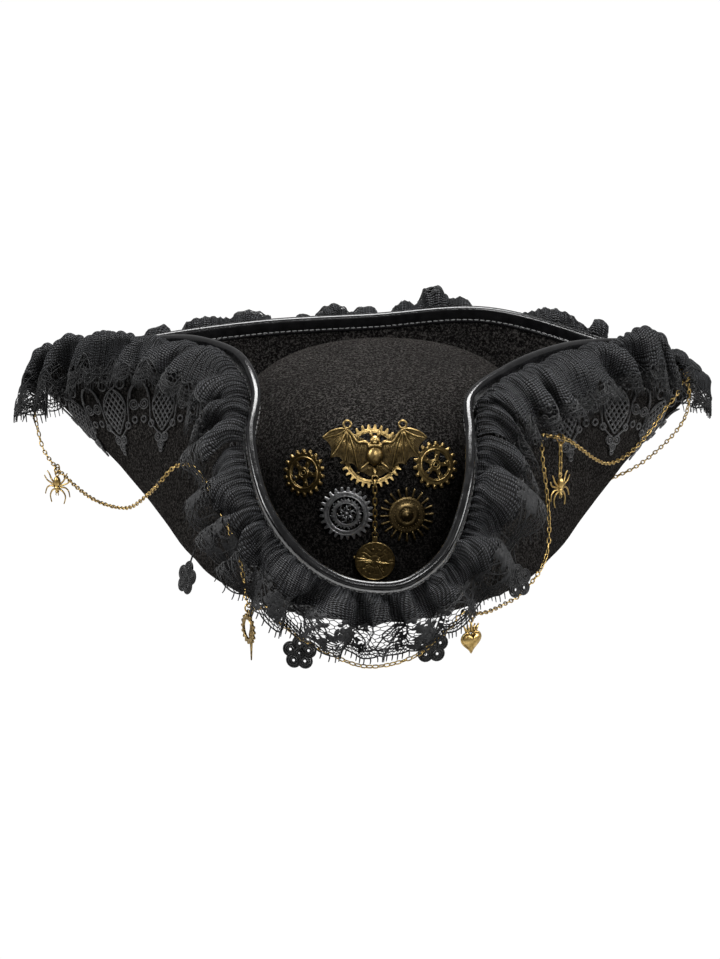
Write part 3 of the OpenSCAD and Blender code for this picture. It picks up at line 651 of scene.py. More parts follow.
def crown_shell(shrink, angles, steps):
    v = np.radians(angles)[:, None]
    a = np.linspace(0, 2 * np.pi, steps, endpoint=False)[None]
    z = (CROWN_H - shrink) * np.sin(v) ** (2 / CROWN_POWER) + 0 * a
    k = np.cos(v) ** (2 / CROWN_POWER)
    dent = 1 + 0.003 * np.sin(3 * a + 1.1) * np.sin(2 * v)
    return np.stack([
        CROWN_LEAN * (z / CROWN_H) ** 1.5 - (HALF_W - shrink) * k * dent * np.sin(a),
        -(HALF_L - shrink) * k * dent * np.cos(a), z], -1)


def build_crown():
    steps = 220
    angles = 89.6 * np.linspace(0, 1, 60) ** 1.5
    outside, inside = crown_shell(0, angles[::-1], steps), crown_shell(FELT_T, angles, steps)
    shells = np.concatenate([outside, inside])
    top = np.arange(steps)
    caps = [top[None, ::-1], (top + (len(shells) - 1) * steps)[None]]
    piece = make("crown_felt", [surface(shells, wrap_columns=True, caps=caps)], FELT)
    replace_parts(piece, "felt_crown")


build_brim()
build_crown()

# ---- binding and its stitches
BIND_W, BIND_T, STITCH_PITCH = 8.0, 0.8, 3.5
stitch_count = int(round(EDGE_LENGTH / STITCH_PITCH))


def build_binding():
    steps = 3 * stitch_count
    far = np.arange(steps) * EDGE_LENGTH / steps
    t = t_at(far)[:, None]
    pucker = np.cos(2 * np.pi * far / EDGE_LENGTH * stitch_count)[:, None]
    below = np.array([BIND_W, BIND_W - 0.15, 7, 6.4, 6, 5.4, 4.4, 3, 1.6, 0.6])[None]
    swell = np.array([0.1, 0.75, 0.85, 0.6, 0.45, 0.6, 0.95, 1.05, 1.1, 1.15])[None]
    pull = np.exp(-((below - 6) ** 2) / 0.8) * 0.16 * pucker
    s = near_edge(t, below)
    off = FELT_T / 2 + 0.1 + BIND_T * swell + pull
    wave = waves(t, s)
    outer, inner = skin(t, s, wave + off), skin(t, s, wave - off)
    edge = brim(t, 1.0)
    out = brim_out(t, near_edge(t, 0.5))
    along = unit(brim(t, 1.0) - brim(t, near_edge(t, 1.0)))
    turn = np.radians(np.linspace(70, -70, 6))[None, :, None]
    radius = FELT_T / 2 + BIND_T * 1.15
    cap = edge + radius * (np.sin(turn) * out + np.cos(turn) * along * 0.75)
    loop = np.concatenate([outer, cap, inner[:, ::-1]], 1)
    part = surface(loop, wrap_rows=True, flip=True)
    piece = make("binding_leatherette", [part], LEATHER)
    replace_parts(piece, "edge_binding")


def capsules(at, along, up, length, radius):
    """Short sewn stitches: round-ended bars that dip at their ends."""
    e = np.array([-0.5, -0.38, -0.15, 0.15, 0.38, 0.5])
    dip = np.array([-0.9, -0.15, 0, 0, -0.15, -0.9]) * radius
    e, dip = e[None, :, None], dip[None, :, None]
    lines = at[:, None] + e * length * along[:, None] + dip * up[:, None]
    size = radius * np.array([0.45, 0.9, 1, 1, 0.9, 0.45])
    return tubes(lines, np.repeat(up[:, None], 6, 1), size[None], 6)


def build_stitches():
    far = (np.arange(stitch_count) + 0.5) * EDGE_LENGTH / stitch_count
    t = t_at(far)
    s = near_edge(t, 6.0)
    out = brim_out(t, s)
    along = unit(brim(t + 0.02, s) - brim(t - 0.02, s))
    tilt = np.random.default_rng(5).normal(0, 0.05, (stitch_count, 1))
    along = unit(along + tilt * np.cross(out, along))
    lift = FELT_T / 2 + 0.1 + BIND_T * 0.45 + 0.3
    parts = [
        capsules(skin(t, s, waves(t, s) + side * lift), along, side * out, 2.5, 0.3)
        for side in (-1, 1)
    ]
    piece = make("binding_seam", parts, GREY_THREAD)
    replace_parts(piece, "binding_stitches")


build_binding()
build_stitches()

# ---- sweatband
BAND_GAP, BAND_H = 1.6, 30.0
BAND_THICK = 0.9


def build_sweatband():
    steps = 360
    a = np.linspace(0, 2 * np.pi, steps, endpoint=False)[None]
    rows = np.concatenate([np.linspace(0, 1, 13), np.linspace(1, 0, 13)])[:, None]
    inside = np.concatenate([np.zeros(13), np.ones(13)])[:, None]
    inset = FELT_T + BAND_GAP + inside * BAND_THICK + 0.25 * np.sin(9 * a + 2 * rows) * rows
    z = 1 + BAND_H * rows + 0.35 * np.sin(7 * a) * rows
    points = head_line(inset, a, z + 0 * a)
    uv = np.stack([a * 95 + 0 * rows, rows * BAND_H + 0 * a], -1) * MM
    part = surface(points, wrap_rows=True, wrap_columns=True)
    piece = make("sweatband_ribbon", [part], RIBBON, uv=uv.reshape(-1, 2))
    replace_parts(piece, "sweatband")
    count = 170
    a = around(count)
    inset = FELT_T + BAND_GAP + BAND_THICK + 0.25
    out = head_out(a)
    part = capsules(head_line(inset, a, 0 * a + 4), unit(np.cross(out, UP)), -out, 2.4, 0.28)
    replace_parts(make("sweatband_seam", [part], GREY_THREAD), "sweatband_stitches")


build_sweatband()

# ---- ruffle
RUFFLE_W = 42.0  # width of the lace strip
RUFFLE_FALL = 40.0
FULLNESS = 1.32  # length of the strip for each length of edge
RUFFLE_PARTS = {
    "front": (-3.96, 3.96),
    "left": (4.04, 11.46),
    "back": (11.54, 18.46),
    "right": (18.54, 25.96),
}


def field(seed, pitch, rows=4, keep=0.6):
    """Smooth random values from -1 to 1 over the ruffle, closed round the edge."""
    rng = np.random.default_rng(seed)
    n = int(round(EDGE_LENGTH / pitch))
    table = rng.uniform(-1, 1, (rows, n))
    for k in range(1, rows):
        table[k] = keep * table[k - 1] + math.sqrt(1 - keep * keep) * table[k]

    def value(far, u):
        place = far / EDGE_LENGTH * n
        i = np.floor(place).astype(int)
        f = place - i
        f = f * f * (3 - 2 * f)
        level = np.clip(u, 0, 1) * (rows - 1)
        j = np.minimum(np.floor(level).astype(int), rows - 2)
        g = level - j
        g = g * g * (3 - 2 * g)
        near_row = table[j, i % n] * (1 - f) + table[j, (i + 1) % n] * f
        far_row = table[j + 1, i % n] * (1 - f) + table[j + 1, (i + 1) % n] * f
        return near_row * (1 - g) + far_row * g

    return value


def near(t, centre, width):
    """1 at a place round the edge, falling to 0 over a width of edge points."""
    d = (t - centre + EDGE_N / 2) % EDGE_N - EDGE_N / 2
    return np.exp(-((d / width) ** 2))


def fold_starts():
    """Places of the folds along the edge, wider apart on the two flanks."""
    rng = np.random.default_rng(11)
    ends = [0.0]
    while ends[-1] < EDGE_LENGTH:
        t = float(t_at(np.array(ends[-1])))
        wide = 1 + 0.7 * near(t, 8.5, 3) + 0.6 * near(t, 21.5, 3)
        ends.append(ends[-1] + rng.uniform(13, 32) * wide)
    ends = np.array(ends)
    return ends * EDGE_LENGTH / ends[-1]


fold_ends = fold_starts()
fold_n = len(fold_ends) - 1
fold_warp = field(1, 30)
fold_power = field(2, 23)
fold_lean = field(3, 38)
fold_side = field(4, 10)
bank_height = field(5, 30, 2, 1.0)


def fold_at(far):
    laps = np.floor(far / EDGE_LENGTH)
    return np.interp(far - laps * EDGE_LENGTH, fold_ends, np.arange(fold_n + 1)) + laps * fold_n


def at_back(t):
    """1 along the back brim, falling to 0 at its two corners."""
    return np.clip(3.6 - np.abs((t % EDGE_N) - 15.1), 0, 1)


# Changes to the ruffle round the edge: how much, where, and over how many edge points.
STANDS_UP = ((1.5, 9.5, 1.7), (1.2, 21, 1.1), (1.0, 21.1, 0.3), (0.5, 18.9, 0.7), (0.4, 5.5, 2),
             (0.3, 24.5, 2))
SHORTER = ((0.12, 0, 2.2), (0.4, 11.2, 0.9), (0.62, 18.8, 0.8), (0.66, 20.1, 0.6), (0.36, 8.4, 1.9),
           (0.24, 21.7, 1.0), (0.12, 28.4, 0.8))


def changed(t, changes, start=0.0):
    return sum((much * near(t, centre, width) for much, centre, width in changes), start)


def ruffle_mid(t, u):
    """Middle surface of the ruffle at t; u runs from the seam to the free edge."""
    s = near_edge(t, 4.0 - 2.6 * near(t, 0, 3.4))
    out = brim_out(t, s)
    down = unit(brim(t, s - 0.02) - brim(t, s))
    start = skin(t, s, FELT_T / 2 + BIND_T + 1.7 + 0 * s)
    rise = changed(t, STANDS_UP, 0.25)
    rise = rise + at_back(t) * (0.95 + 1.2 * bank_height(far_at(t), 0 * t))
    short = changed(t, SHORTER) + 0.1 * at_back(t)
    fall = (RUFFLE_FALL * (1 - short))[..., None]
    throw = (1 - 0.45 * near(t, 11.3, 1.3) - 0.8 * near(t, 18.9, 1.0))[..., None]
    over = start + (out * throw * (1 - short)[..., None] + rise[..., None] * UP) * 0.4 * RUFFLE_FALL
    end = start + unit(0.8 * out * throw + 0.2 * down - 0.6 * UP) * fall
    u = np.asarray(u, float)[..., None]
    return start * (1 - u) ** 2 + 2 * over * u * (1 - u) + end * u**2


def ruffle(x, v, lift=0.0):
    """Point of the gathered strip, and its normal, at x along the flat strip and v across it."""
    x, v, lift = np.broadcast_arrays(
        np.asarray(x, float), np.asarray(v, float), np.asarray(lift, float)
    )
    far = x / FULLNESS
    u = v / RUFFLE_W
    t = t_at(far)
    mid = ruffle_mid(t, u)
    along = unit(ruffle_mid(t + 0.04, u) - ruffle_mid(t - 0.04, u))
    fall = unit(ruffle_mid(t, u + 0.02) - ruffle_mid(t, u - 0.02))
    normal = unit(np.cross(along, fall))
    slant = 24 * near(t, 22, 2.4) - 30 * near(t, 8.6, 2.8)
    inner = 1 - np.clip(u, 0, 1)
    turn = 2 * np.pi * fold_at(far + slant * u + 9 * fold_warp(far, u))
    power = 1 + 0.7 * fold_power(far, u)
    depth = (0.8 + 5.0 * np.clip(u, 0, 1.1) ** 0.75) * power
    fine = 2 * np.pi * far / 4.9 + 3 * fold_side(far, u)
    rise = depth * np.sin(turn) + (0.95 * inner**1.3 + 0.1) * np.sin(fine)
    rise = rise + 1.5 * fold_side(far, u) * (0.2 + u)
    sway = -0.32 * depth * np.cos(turn) - 0.26 * depth * np.sin(2 * turn)
    sway = sway + 0.9 * depth * fold_lean(far, u) * np.sin(turn)
    point = mid + normal * (rise + lift)[..., None] + along * sway[..., None]
    return point, normal


def on_ruffle(x, v, lift, radius, sides, closed=False):
    """Threads that lie on the gathered strip."""
    point, normal = ruffle(x, v, lift)
    return tubes(point, normal, radius, sides, closed)


KNIT_WIDEST = 36.0
OPEN_LACE = 27.5  # the lace has flowers where the knit ends below this
LACE_END = 38.0  # where the net meets the scalloped border


def knit_end(x):
    """Where the plain knit ends and the open lace begins, across the strip."""
    t = t_at(x / FULLNESS) % EDGE_N
    flank = np.clip(near(t, 8, 3.9) + near(t, 22.5, 4.6), 0, 1)
    wander = 1.8 * np.sin(2 * np.pi * x / 37) + 1.2 * np.sin(2 * np.pi * x / 13.7 + 1)
    return 23.5 + 11.5 * flank - 12 * at_back(t) + wander


def scallop(x):
    """Free edge of the lace border."""
    return 38.4 + 2.1 * np.abs(np.sin(np.pi * x / 15.5)) ** 0.8


def ovals(x, v, long, wide, turn, lift=0.28):
    """Raised oval patches of close thread on the net."""
    a = around(12)
    rings = np.array([0.0, 0.55, 1.0])
    dx = rings[None, :, None] * np.cos(a) * long[:, None, None]
    dv = rings[None, :, None] * np.sin(a) * wide[:, None, None]
    c, s = np.cos(turn)[:, None, None], np.sin(turn)[:, None, None]
    up = lift + 0.35 * (1 - rings[None, :, None] ** 2) + 0 * dx
    point, _ = ruffle(x[:, None, None] + dx * c - dv * s, v[:, None, None] + dx * s + dv * c, up)
    one = grid_faces(3, 12, wrap_columns=True)
    faces = (one[None] + 36 * np.arange(len(x))[:, None, None]).reshape(-1, 4)
    return point.reshape(-1, 3), [faces]


def build_knit(name, x0, x1):
    x = np.linspace(x0, x1, int((x1 - x0) / 0.9))[:, None]
    v = np.linspace(0, 1, 30)[None] * np.minimum(knit_end(x), KNIT_WIDEST)
    point, _ = ruffle(x, v)
    uv = np.stack([x + 0 * v, v], -1).reshape(-1, 2)
    piece = make(f"knit_{name}", [surface(point)], KNIT, uv=uv)
    return piece, float(np.minimum(knit_end(x), KNIT_WIDEST).mean()) * (x1 - x0)


def build_net(name, x0, x1):
    """Hexagonal net: zigzag threads along the strip, tied across where they meet."""
    step, high, zig = 1.6, 1.95, 0.42
    i = np.arange(int((x1 - x0) / step) + 1)
    x = x0 + i * step
    rows = np.arange(15)
    x_all = np.broadcast_to(x, (len(rows), len(i)))
    v = LACE_END - rows[:, None] * high + zig * (-1.0) ** (i[None] + rows[:, None])
    shown = v > knit_end(x_all) - 2.5
    parts = []
    for row in rows:
        start = None
        for k in range(len(i) + 1):
            inside = k < len(i) and shown[row, k]
            if inside and start is None:
                start = k
            if not inside and start is not None:
                if k - start > 2:
                    parts.append(on_ruffle(x[start:k], v[row, start:k], 0, 0.27, 3))
                start = None
    r, c = np.nonzero(((i[None] + rows[:-1, None]) % 2 == 1) & shown[1:])
    ends = np.stack([v[r, c], v[r + 1, c]], 1)
    parts.append(on_ruffle(np.stack([x[c], x[c]], 1), ends, 0, 0.27, 3))
    return make(f"net_{name}", parts, LACE)


def open_net(x):
    """Where a clear window of net shows between the lace flowers."""
    return np.cos(2 * np.pi * x / 43) > 0.5


def build_floral(name, x0, x1, seed):
    rng = np.random.default_rng(seed)
    count = int((x1 - x0) / 13)
    cx = x0 + 6 + np.arange(count) * (x1 - x0 - 12) / max(count - 1, 1)
    low = knit_end(cx)
    middle = (low + 37.5) / 2
    cv = middle + np.where(np.arange(count) % 2, 0.9, -0.9) + rng.normal(0, 0.4, count)
    parts = []
    open_lace = low < OPEN_LACE
    flowers = (np.arange(count) % 3 != 1) & open_lace & ~open_net(cx)
    wheels = (np.arange(count) % 3 == 1) & open_lace
    turn = np.arange(6) * np.pi / 3 + rng.uniform(0, 1, count)[:, None]
    petal_x = (cx[:, None] + 3.0 * np.cos(turn))[flowers].ravel()
    petal_v = (cv[:, None] + 3.0 * np.sin(turn))[flowers].ravel()
    sizes = rng.uniform(1.9, 2.4, petal_x.size)
    parts.append(ovals(petal_x, petal_v, sizes, sizes * 0.7, turn[flowers].ravel()))
    hub = np.full(open_lace.sum(), 1.2)
    parts.append(ovals(cx[open_lace], cv[open_lace], hub, hub, 0 * hub, 0.5))
    a = around(18)
    for r, size in ((5.0, 0.42), (2.3, 0.34)):
        rim_x = cx[wheels, None] + r * np.cos(a)
        rim_v = cv[wheels, None] + r * np.sin(a)
        parts.append(on_ruffle(rim_x, rim_v, 0.3, size, 5, closed=True))
    spokes = 10
    hub_x = np.repeat(cx[wheels], spokes)[:, None]
    hub_v = np.repeat(cv[wheels], spokes)[:, None]
    way = np.tile(around(spokes), wheels.sum())[:, None]
    reach = np.array([[1.0, 5.0]])
    spoke_x, spoke_v = hub_x + reach * np.cos(way), hub_v + reach * np.sin(way)
    parts.append(on_ruffle(spoke_x, spoke_v, 0.25, 0.26, 4))
    leaves = 26 * count
    x = rng.uniform(x0 + 3, x1 - 3, leaves)
    x = x[(knit_end(x) < OPEN_LACE) & ~open_net(x)]
    leaves, low = len(x), knit_end(x)
    v = low + rng.uniform(-1.5, 1, leaves) + rng.uniform(0, 1, leaves) * (LACE_END - low)
    v = np.minimum(v, LACE_END)
    long, wide = rng.uniform(1.1, 2.3, leaves), rng.uniform(0.5, 1.0, leaves)
    parts.append(ovals(x, v, long, wide, rng.uniform(0, 3.14, leaves)))
    vine = np.arange(x0, x1, 1.2)
    for side, size in ((1, 0.42), (-1, 0.34)):
        bend = np.interp(vine, cx, cv) + side * 4.4 * np.sin(2 * np.pi * vine / 26 + side)
        bend = np.clip(bend, knit_end(vine) - 1, LACE_END)
        parts.append(on_ruffle(vine, bend, 0.3, size, 5))
    return make(f"floral_{name}", parts, FLORAL)


def build_border(name, x0, x1):
    x = np.arange(x0, x1, 0.9)
    edge = scallop(x)
    parts = []
    for inset, size in ((0, 0.42), (1.5, 0.3), (3.0, 0.4), (4.3, 0.28)):
        parts.append(on_ruffle(x, edge - inset, 0.1, size, 5))
    for inset in (0.75, 2.25, 3.65):
        zig = edge - inset - 0.7 * (-1.0) ** np.arange(len(x))
        parts.append(on_ruffle(x, zig, 0.1, 0.3, 4))
    lash = np.arange(x0 + 0.5, x1, 2.3)
    lash_x = lash[:, None] + np.array([0, 0.1, 0.35])[None]
    v = scallop(lash)[:, None] + np.array([-0.3, 1.2, 2.6])[None]
    parts.append(on_ruffle(lash_x, v, 0.05, np.array([[0.38, 0.36, 0.28]]), 4))
    return make(f"border_{name}", parts, LACE)


for seed, (name, (t0, t1)) in enumerate(RUFFLE_PARTS.items()):
    x0, x1 = float(far_at(np.array(t0))) * FULLNESS, float(far_at(np.array(t1))) * FULLNESS
    knit, area = build_knit(name, x0, x1)
    lace = [build_net(name, x0, x1), build_floral(name, x0, x1, 40 + seed)]
    lace.append(build_border(name, x0, x1))
    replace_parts(knit, f"ruffle_{name}")

# ---- guipure
GUIPURE_TOP = 13.0
GUIPURE_STRETCH = 1.16
GUIPURE_REPEAT = 62.0
MOTIF_WIDE = 31.0  # the motif's own width, stretched over one repeat
GUIPURE_LIFT = FELT_T / 2 + 0.5 + 0.6


def circle(x, y, r, points=14):
    a = np.radians(np.linspace(0, 360, points, endpoint=False))
    return x + r * np.cos(a), y + r * np.sin(a)


def guipure_motif():
    """Cords of one repeat as (x, y, closed), x from its middle and y down from the trim's top."""
    cords = []
    rosette = [(-12.5, 4), (-7.6, 5.2), (-2.6, 4.4), (2.6, 4.4), (7.6, 5.2), (12.5, 4)]
    rosette += [(-5.2, 9.6), (0, 9), (5.2, 9.6)]
    for x, y in rosette:
        cords.append((*circle(x, y, 2.3), True))
    y = np.linspace(0, 1, 15)
    half = 8.2 * np.sin(np.pi * np.clip(y * 1.02, 0, 1)) ** 0.75 * (1 - 0.35 * y) + 0.4
    oy = 11.5 + 23 * y
    cords.append((np.concatenate([half, -half[::-1]]), np.concatenate([oy, oy[::-1]]), True))
    for k in range(-4, 5):
        for lean in (-1, 1):
            lx = np.linspace(-9, 9, 25)
            ly = 23 + 4.1 * k + lean * lx * 1.35
            inside = np.abs(lx) < np.interp(ly, oy, half, left=0, right=0)
            if inside.sum() > 2:
                cords.append((lx[inside], ly[inside], False))
    for side in (-1, 1):
        a = np.radians(np.linspace(0, 180, 11))
        arch_y = 14.5 - 5.5 * np.cos(a[:6]) + 0.6 * np.arange(6)
        cords.append((side * (15.5 - 5.2 * np.sin(a[:6])), arch_y, False))
        flank = np.array([15.5, 12.6, 10.6, 9.4, 8.8, 8.6])
        cords.append((side * flank, np.array([9.3, 10.2, 13, 17, 21.5, 26]), False))
        spin = np.linspace(0, 4.2 * np.pi, 26)
        size = 3.1 * (1 - spin / 16.5)
        cords.append((side * (12.4 + size * np.cos(spin)), 20.5 + size * np.sin(spin), False))
        cords.append((*circle(side * 7.6, 31.0, 1.7, 12), True))
        cords.append((*circle(side * 12.6, 28.5, 1.6, 12), True))
        low_x, low_y = np.array([8.7, 8.3, 6.4, 3.6, 1.6]), np.array([26, 29, 32.5, 35, 36.5])
        cords.append((side * low_x, low_y, False))
    for x, y, r in ((-2.5, 38.2, 2.3), (2.5, 38.2, 2.3), (0, 42, 2.1), (0, 45.2, 1.1)):
        cords.append((*circle(x, y, r, 12), True))
        if r > 2:
            cords.append((*circle(x, y, 0.9, 8), True))
    return cords


def build_guipure(name, t0, t1):
    x0, x1 = float(far_at(np.array(t0))), float(far_at(np.array(t1)))
    count = int(round((x1 - x0) / GUIPURE_REPEAT))
    pitch = (x1 - x0) / count
    motif = guipure_motif()
    parts = []
    rng = np.random.default_rng(3)
    for i in range(count):
        centre = x0 + (i + 0.5) * pitch
        for x, y, closed in motif:
            t = t_at(centre + x * pitch / MOTIF_WIDE)
            s = near_edge(t, GUIPURE_TOP + y * GUIPURE_STRETCH)
            lift = GUIPURE_LIFT + waves(t, s) + rng.uniform(0, 0.25)
            point = skin(t, s, lift)
            wire = 0.5 if len(x) < 25 or closed else 0.4
            parts.append(tubes(point, brim_out(t, s), wire, 5, closed))
    top = np.arange(x0, x1, 2.0)
    for below, size in ((0.2, 0.6), (1.4, 0.45)):
        t = t_at(top)
        s = near_edge(t, GUIPURE_TOP + below)
        parts.append(tubes(skin(t, s, GUIPURE_LIFT + waves(t, s)), brim_out(t, s), size, 5))
    piece = make(f"{name}_cords", parts, GUIPURE)
    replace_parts(piece, name)


build_guipure("guipure_left", 0.25, 11.2)
build_guipure("guipure_right", 19.0, 29.75)

# Middle, turn and lean of each hanging flower.
FLOWERS = [[-100, -92, 10, -60, 15], [-38, -165, -7, -14, 6], [31, -166, -3, 12, 6],
           [78, -118, 17, 40, 12]]


def build_guipure_flowers():
    parts = []
    for x, y, z, turn, lean in FLOWERS:
        place = turned("Z", turn, (x, y, z)) @ turned("X", 90 - lean)
        flower = []
        for k in range(5):
            a = math.radians(72 * k + 18)
            cx, cy = 5.2 * math.cos(a), 5.2 * math.sin(a)
            petal = [torus(r, 0.62, z, 18, 6) for r, z in ((3.7, 0.6), (2.5, 0.9), (1.3, 1.1))]
            flower += placed(petal, turned("Z", 0, (cx, cy, 0)))
        flower += [torus(r, 0.65, z, 14, 6) for r, z in ((2.2, 1.2), (1.0, 1.6))]
        flower.append(tubes([[0, 9.0, 0.5], [0, 12, 0.2], [0.3, 16, -0.5]], UP, 0.5, 6))
        parts += placed(flower, place)
    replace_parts(make("guipure_flower_cords", parts, FLOWER), "guipure_flowers")


build_guipure_flowers()

# ---- gears on the crown
GEAR_T = 1.6


def front_y(x, z):
    k = (1 - (z / CROWN_H) ** CROWN_POWER) ** (1 / CROWN_POWER)
    q = (x - CROWN_LEAN * (z / CROWN_H) ** 1.5) / (HALF_W * k)
    return -HALF_L * k * math.sqrt(1 - q * q)


def on_front(x, z, gap, turn, lean):
    return turned("Z", turn, (x, front_y(x, z) - gap, z)) @ turned("X", 90 - lean)


# Each ornament's own frame: its face looks along Z, and its back is near the felt.
LEFT_GEAR = on_front(-36.2, 69, 1.1, -31, 15)
RIGHT_GEAR = on_front(33.7, 74.5, 1.1, 24, 19)
BAT_GEAR = on_front(0, 80.5, 1.2, 0, 21)
SILVER_GEAR = on_front(-13.6, 50.6, 0.8, -6, 5)
SUN_GEAR = on_front(18.6, 49.8, 1.1, 8, 5)


def toothed(root, tip, teeth, sharp, points=12):
    """Outline with one smooth tooth each pitch; a larger sharp makes it narrower."""
    a = around(teeth * points)
    return polar(root + (tip - root) * np.clip(0.5 + 0.85 * np.cos(teeth * a), 0, 1) ** sharp, a)


def round_hole(r, points=48):
    return polar(r, around(points))


def sector_hole(r0, r1, middle, half, points=8):
    """Window between two spokes."""
    a = np.radians(np.linspace(middle - half, middle + half, points))
    b = np.radians(np.linspace(middle + half * 0.7, middle - half * 0.7, points))
    return np.concatenate([polar(r1, a), polar(r0, b)])


def beads(count, r, z, radii, rows, columns):
    """Balls in a circle on a casting's face."""
    centres = polar(r, np.radians(360 / count * np.arange(count)))
    return [ball([*centre, z], radii, rows, columns) for centre in centres]


def spoked_gear(name, place):
    holes = [sector_hole(3.4, 7.4, 72 * i + 36, 25) for i in range(5)]
    parts = [plate([toothed(10.6, 12.9, 18, 0.8), *holes, round_hole(1.1, 20)], GEAR_T - 0.3, 0.22)]
    parts += [torus(8.5, 0.55, GEAR_T - 0.3), torus(2.5, 0.45, GEAR_T - 0.2, 30)]
    parts.append(torus(1.25, 0.35, GEAR_T - 0.1, 20))
    parts += beads(5, 5.4, GEAR_T - 0.35, [0.75, 0.75, 0.5], 8, 12)
    parts += beads(18, 11.3, GEAR_T - 0.35, [1.0, 1.0, 0.45], 8, 12)
    piece = make(f"{name}_casting", placed(parts, place), BRASS)
    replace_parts(piece, name)


def build_bat_gear():
    parts = [plate([toothed(14.9, 17.3, 30, 1.6), round_hole(12.6, 72)], 1.4, 0.25)]
    parts.append(torus(13.6, 0.4, 1.3, 72))
    piece = make("bat_gear_casting", placed(parts, BAT_GEAR), BRASS)
    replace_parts(piece, "bat_gear")


def build_silver_gear():
    parts = [plate([toothed(12.3, 14.6, 25, 1.5), round_hole(9.4, 60)], GEAR_T, 0.25)]
    parts += [torus(9.7, 0.45, GEAR_T, 60), torus(11.6, 0.3, GEAR_T, 60)]
    parts.append(plate([toothed(7.4, 8.3, 26, 1.0, 8), round_hole(5.6, 48)], GEAR_T + 0.2, 0.2))
    parts.append(torus(5.9, 0.35, GEAR_T + 0.3, 48))
    for k in range(8):
        a = math.radians(45 * k + 10)
        d = np.array([math.cos(a), math.sin(a)])
        parts.append(tubes([[*(d * 7.8), 0.8], [*(d * 9.8), 0.8]], UP, 0.5, 6))
    piece = make("silver_gear_casting", placed(parts, SILVER_GEAR), SILVER)
    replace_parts(piece, "silver_gear")
    parts = []
    for k in range(6):
        a = math.radians(60 * k)
        spin = np.linspace(0.0, 4.6, 22)
        size = 1.75 * (1 - spin / 7)
        px = 3.4 * math.cos(a) + size * np.cos(spin + a)
        py = 3.4 * math.sin(a) + size * np.sin(spin + a)
        parts.append(tubes(np.stack([px, py, 0 * px + 1.3], 1), UP, 0.38, 6))
        tip = np.array([math.cos(a + 0.5), math.sin(a + 0.5)])
        ray = [[*(tip * 0.8), 1.5], [*(tip * 3.2), 1.3], [*(tip * 5.7), 1.0]]
        parts.append(tubes(ray, UP, [[0.5, 0.42, 0.3]], 6))
    parts.append(lathe([[0.01, 2.5], [0.7, 2.45], [1.2, 2.1], [1.4, 1.6], [1.5, 0.6]], 24))
    piece = make("silver_gear_filigree", placed(parts, SILVER_GEAR), SILVER)
    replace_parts(piece, "silver_gear_star")


def build_sun_gear():
    parts = []
    for i in range(20):
        a = math.radians(18 * i)
        d = np.array([math.cos(a), math.sin(a), 0])
        reach = np.array([8.6, 11, 13, 14.2, 14.9])[:, None] * d + np.array([0, 0, GEAR_T / 2])
        parts.append(tubes(reach, UP, [[0.62, 0.6, 0.72, 0.78, 0.4]], 8))
    profile = [[0.01, 3.1], [0.9, 3.0], [1.3, 2.6], [1.35, 2.3], [2.6, 2.2], [2.9, 1.9], [3.0, 1.5],
               [4.2, 1.45], [5.3, 2.0], [5.7, 1.5], [8.2, 1.45], [9.6, 1.5], [9.9, 1.2], [10, 0.2]]
    parts.append(lathe(profile, 72))
    for r, count, size in ((7.0, 30, 0.5), (8.9, 36, 0.42), (3.7, 16, 0.38)):
        parts += beads(count, r, 1.5, [size, size, 0.42], 6, 8)
    piece = make("sun_gear_casting", placed(parts, SUN_GEAR), BRONZE)
    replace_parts(piece, "sun_gear")


def build_ornament_threads():
    """Three strands on each side of a gear, over its rim and back into the felt."""
    parts = []
    places = [(LEFT_GEAR, 6, 18), (RIGHT_GEAR, 6, 18), (SILVER_GEAR, 8.4, 0), (BAT_GEAR, 11.9, 0)]
    for place, r, turn in places:
        for side in (18, 198):
            a = math.radians(turn + side)
            centre = np.array([r * math.cos(a), r * math.sin(a)])
            for k in (-1, 0, 1):
                u = np.linspace(0, np.pi, 9)
                x = centre[0] + 0.45 * k + 0 * u
                y, z = centre[1] - 0.9 + 1.8 * u / np.pi, -0.9 + (GEAR_T + 1.4) * np.sin(u) ** 0.5
                parts += placed([tubes(np.stack([x, y, z], 1), ALONG_X, 0.2, 6)], place)
    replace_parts(make("ornament_threads", parts, BLACK_THREAD), "ornament_stitches")


spoked_gear("left_gear", LEFT_GEAR)
spoked_gear("right_gear", RIGHT_GEAR)
build_bat_gear()
build_silver_gear()
build_sun_gear()
build_ornament_threads()

# ---- bat
PENDANT_TOP = np.array([1.6, -110.4, 70.5])


def ring_about(centre, radius, wire, turn, points=36, sides=10):
    """Ring standing on end, its hole along the horizontal direction at turn."""
    a = around(points)
    across = np.array([-math.sin(math.radians(turn)), math.cos(math.radians(turn)), 0.0])
    line = centre + radius * (np.cos(a)[:, None] * across + np.sin(a)[:, None] * UP)
    return tubes(line, np.cross(across, UP), wire, sides, True)


def square_to(a, b):
    """Unit vector square to the way from a to b, in the plane."""
    return np.array([a[1] - b[1], b[0] - a[0]]) / np.linalg.norm(b - a)


def vein(points, heights, flip):
    """Fine rib on a wing, through three points of the plan."""
    line = np.stack([np.append(point * flip, z) for point, z in zip(points, heights)])
    return tubes(line, UP, [[0.12, 0.2, 0.14]], 5)


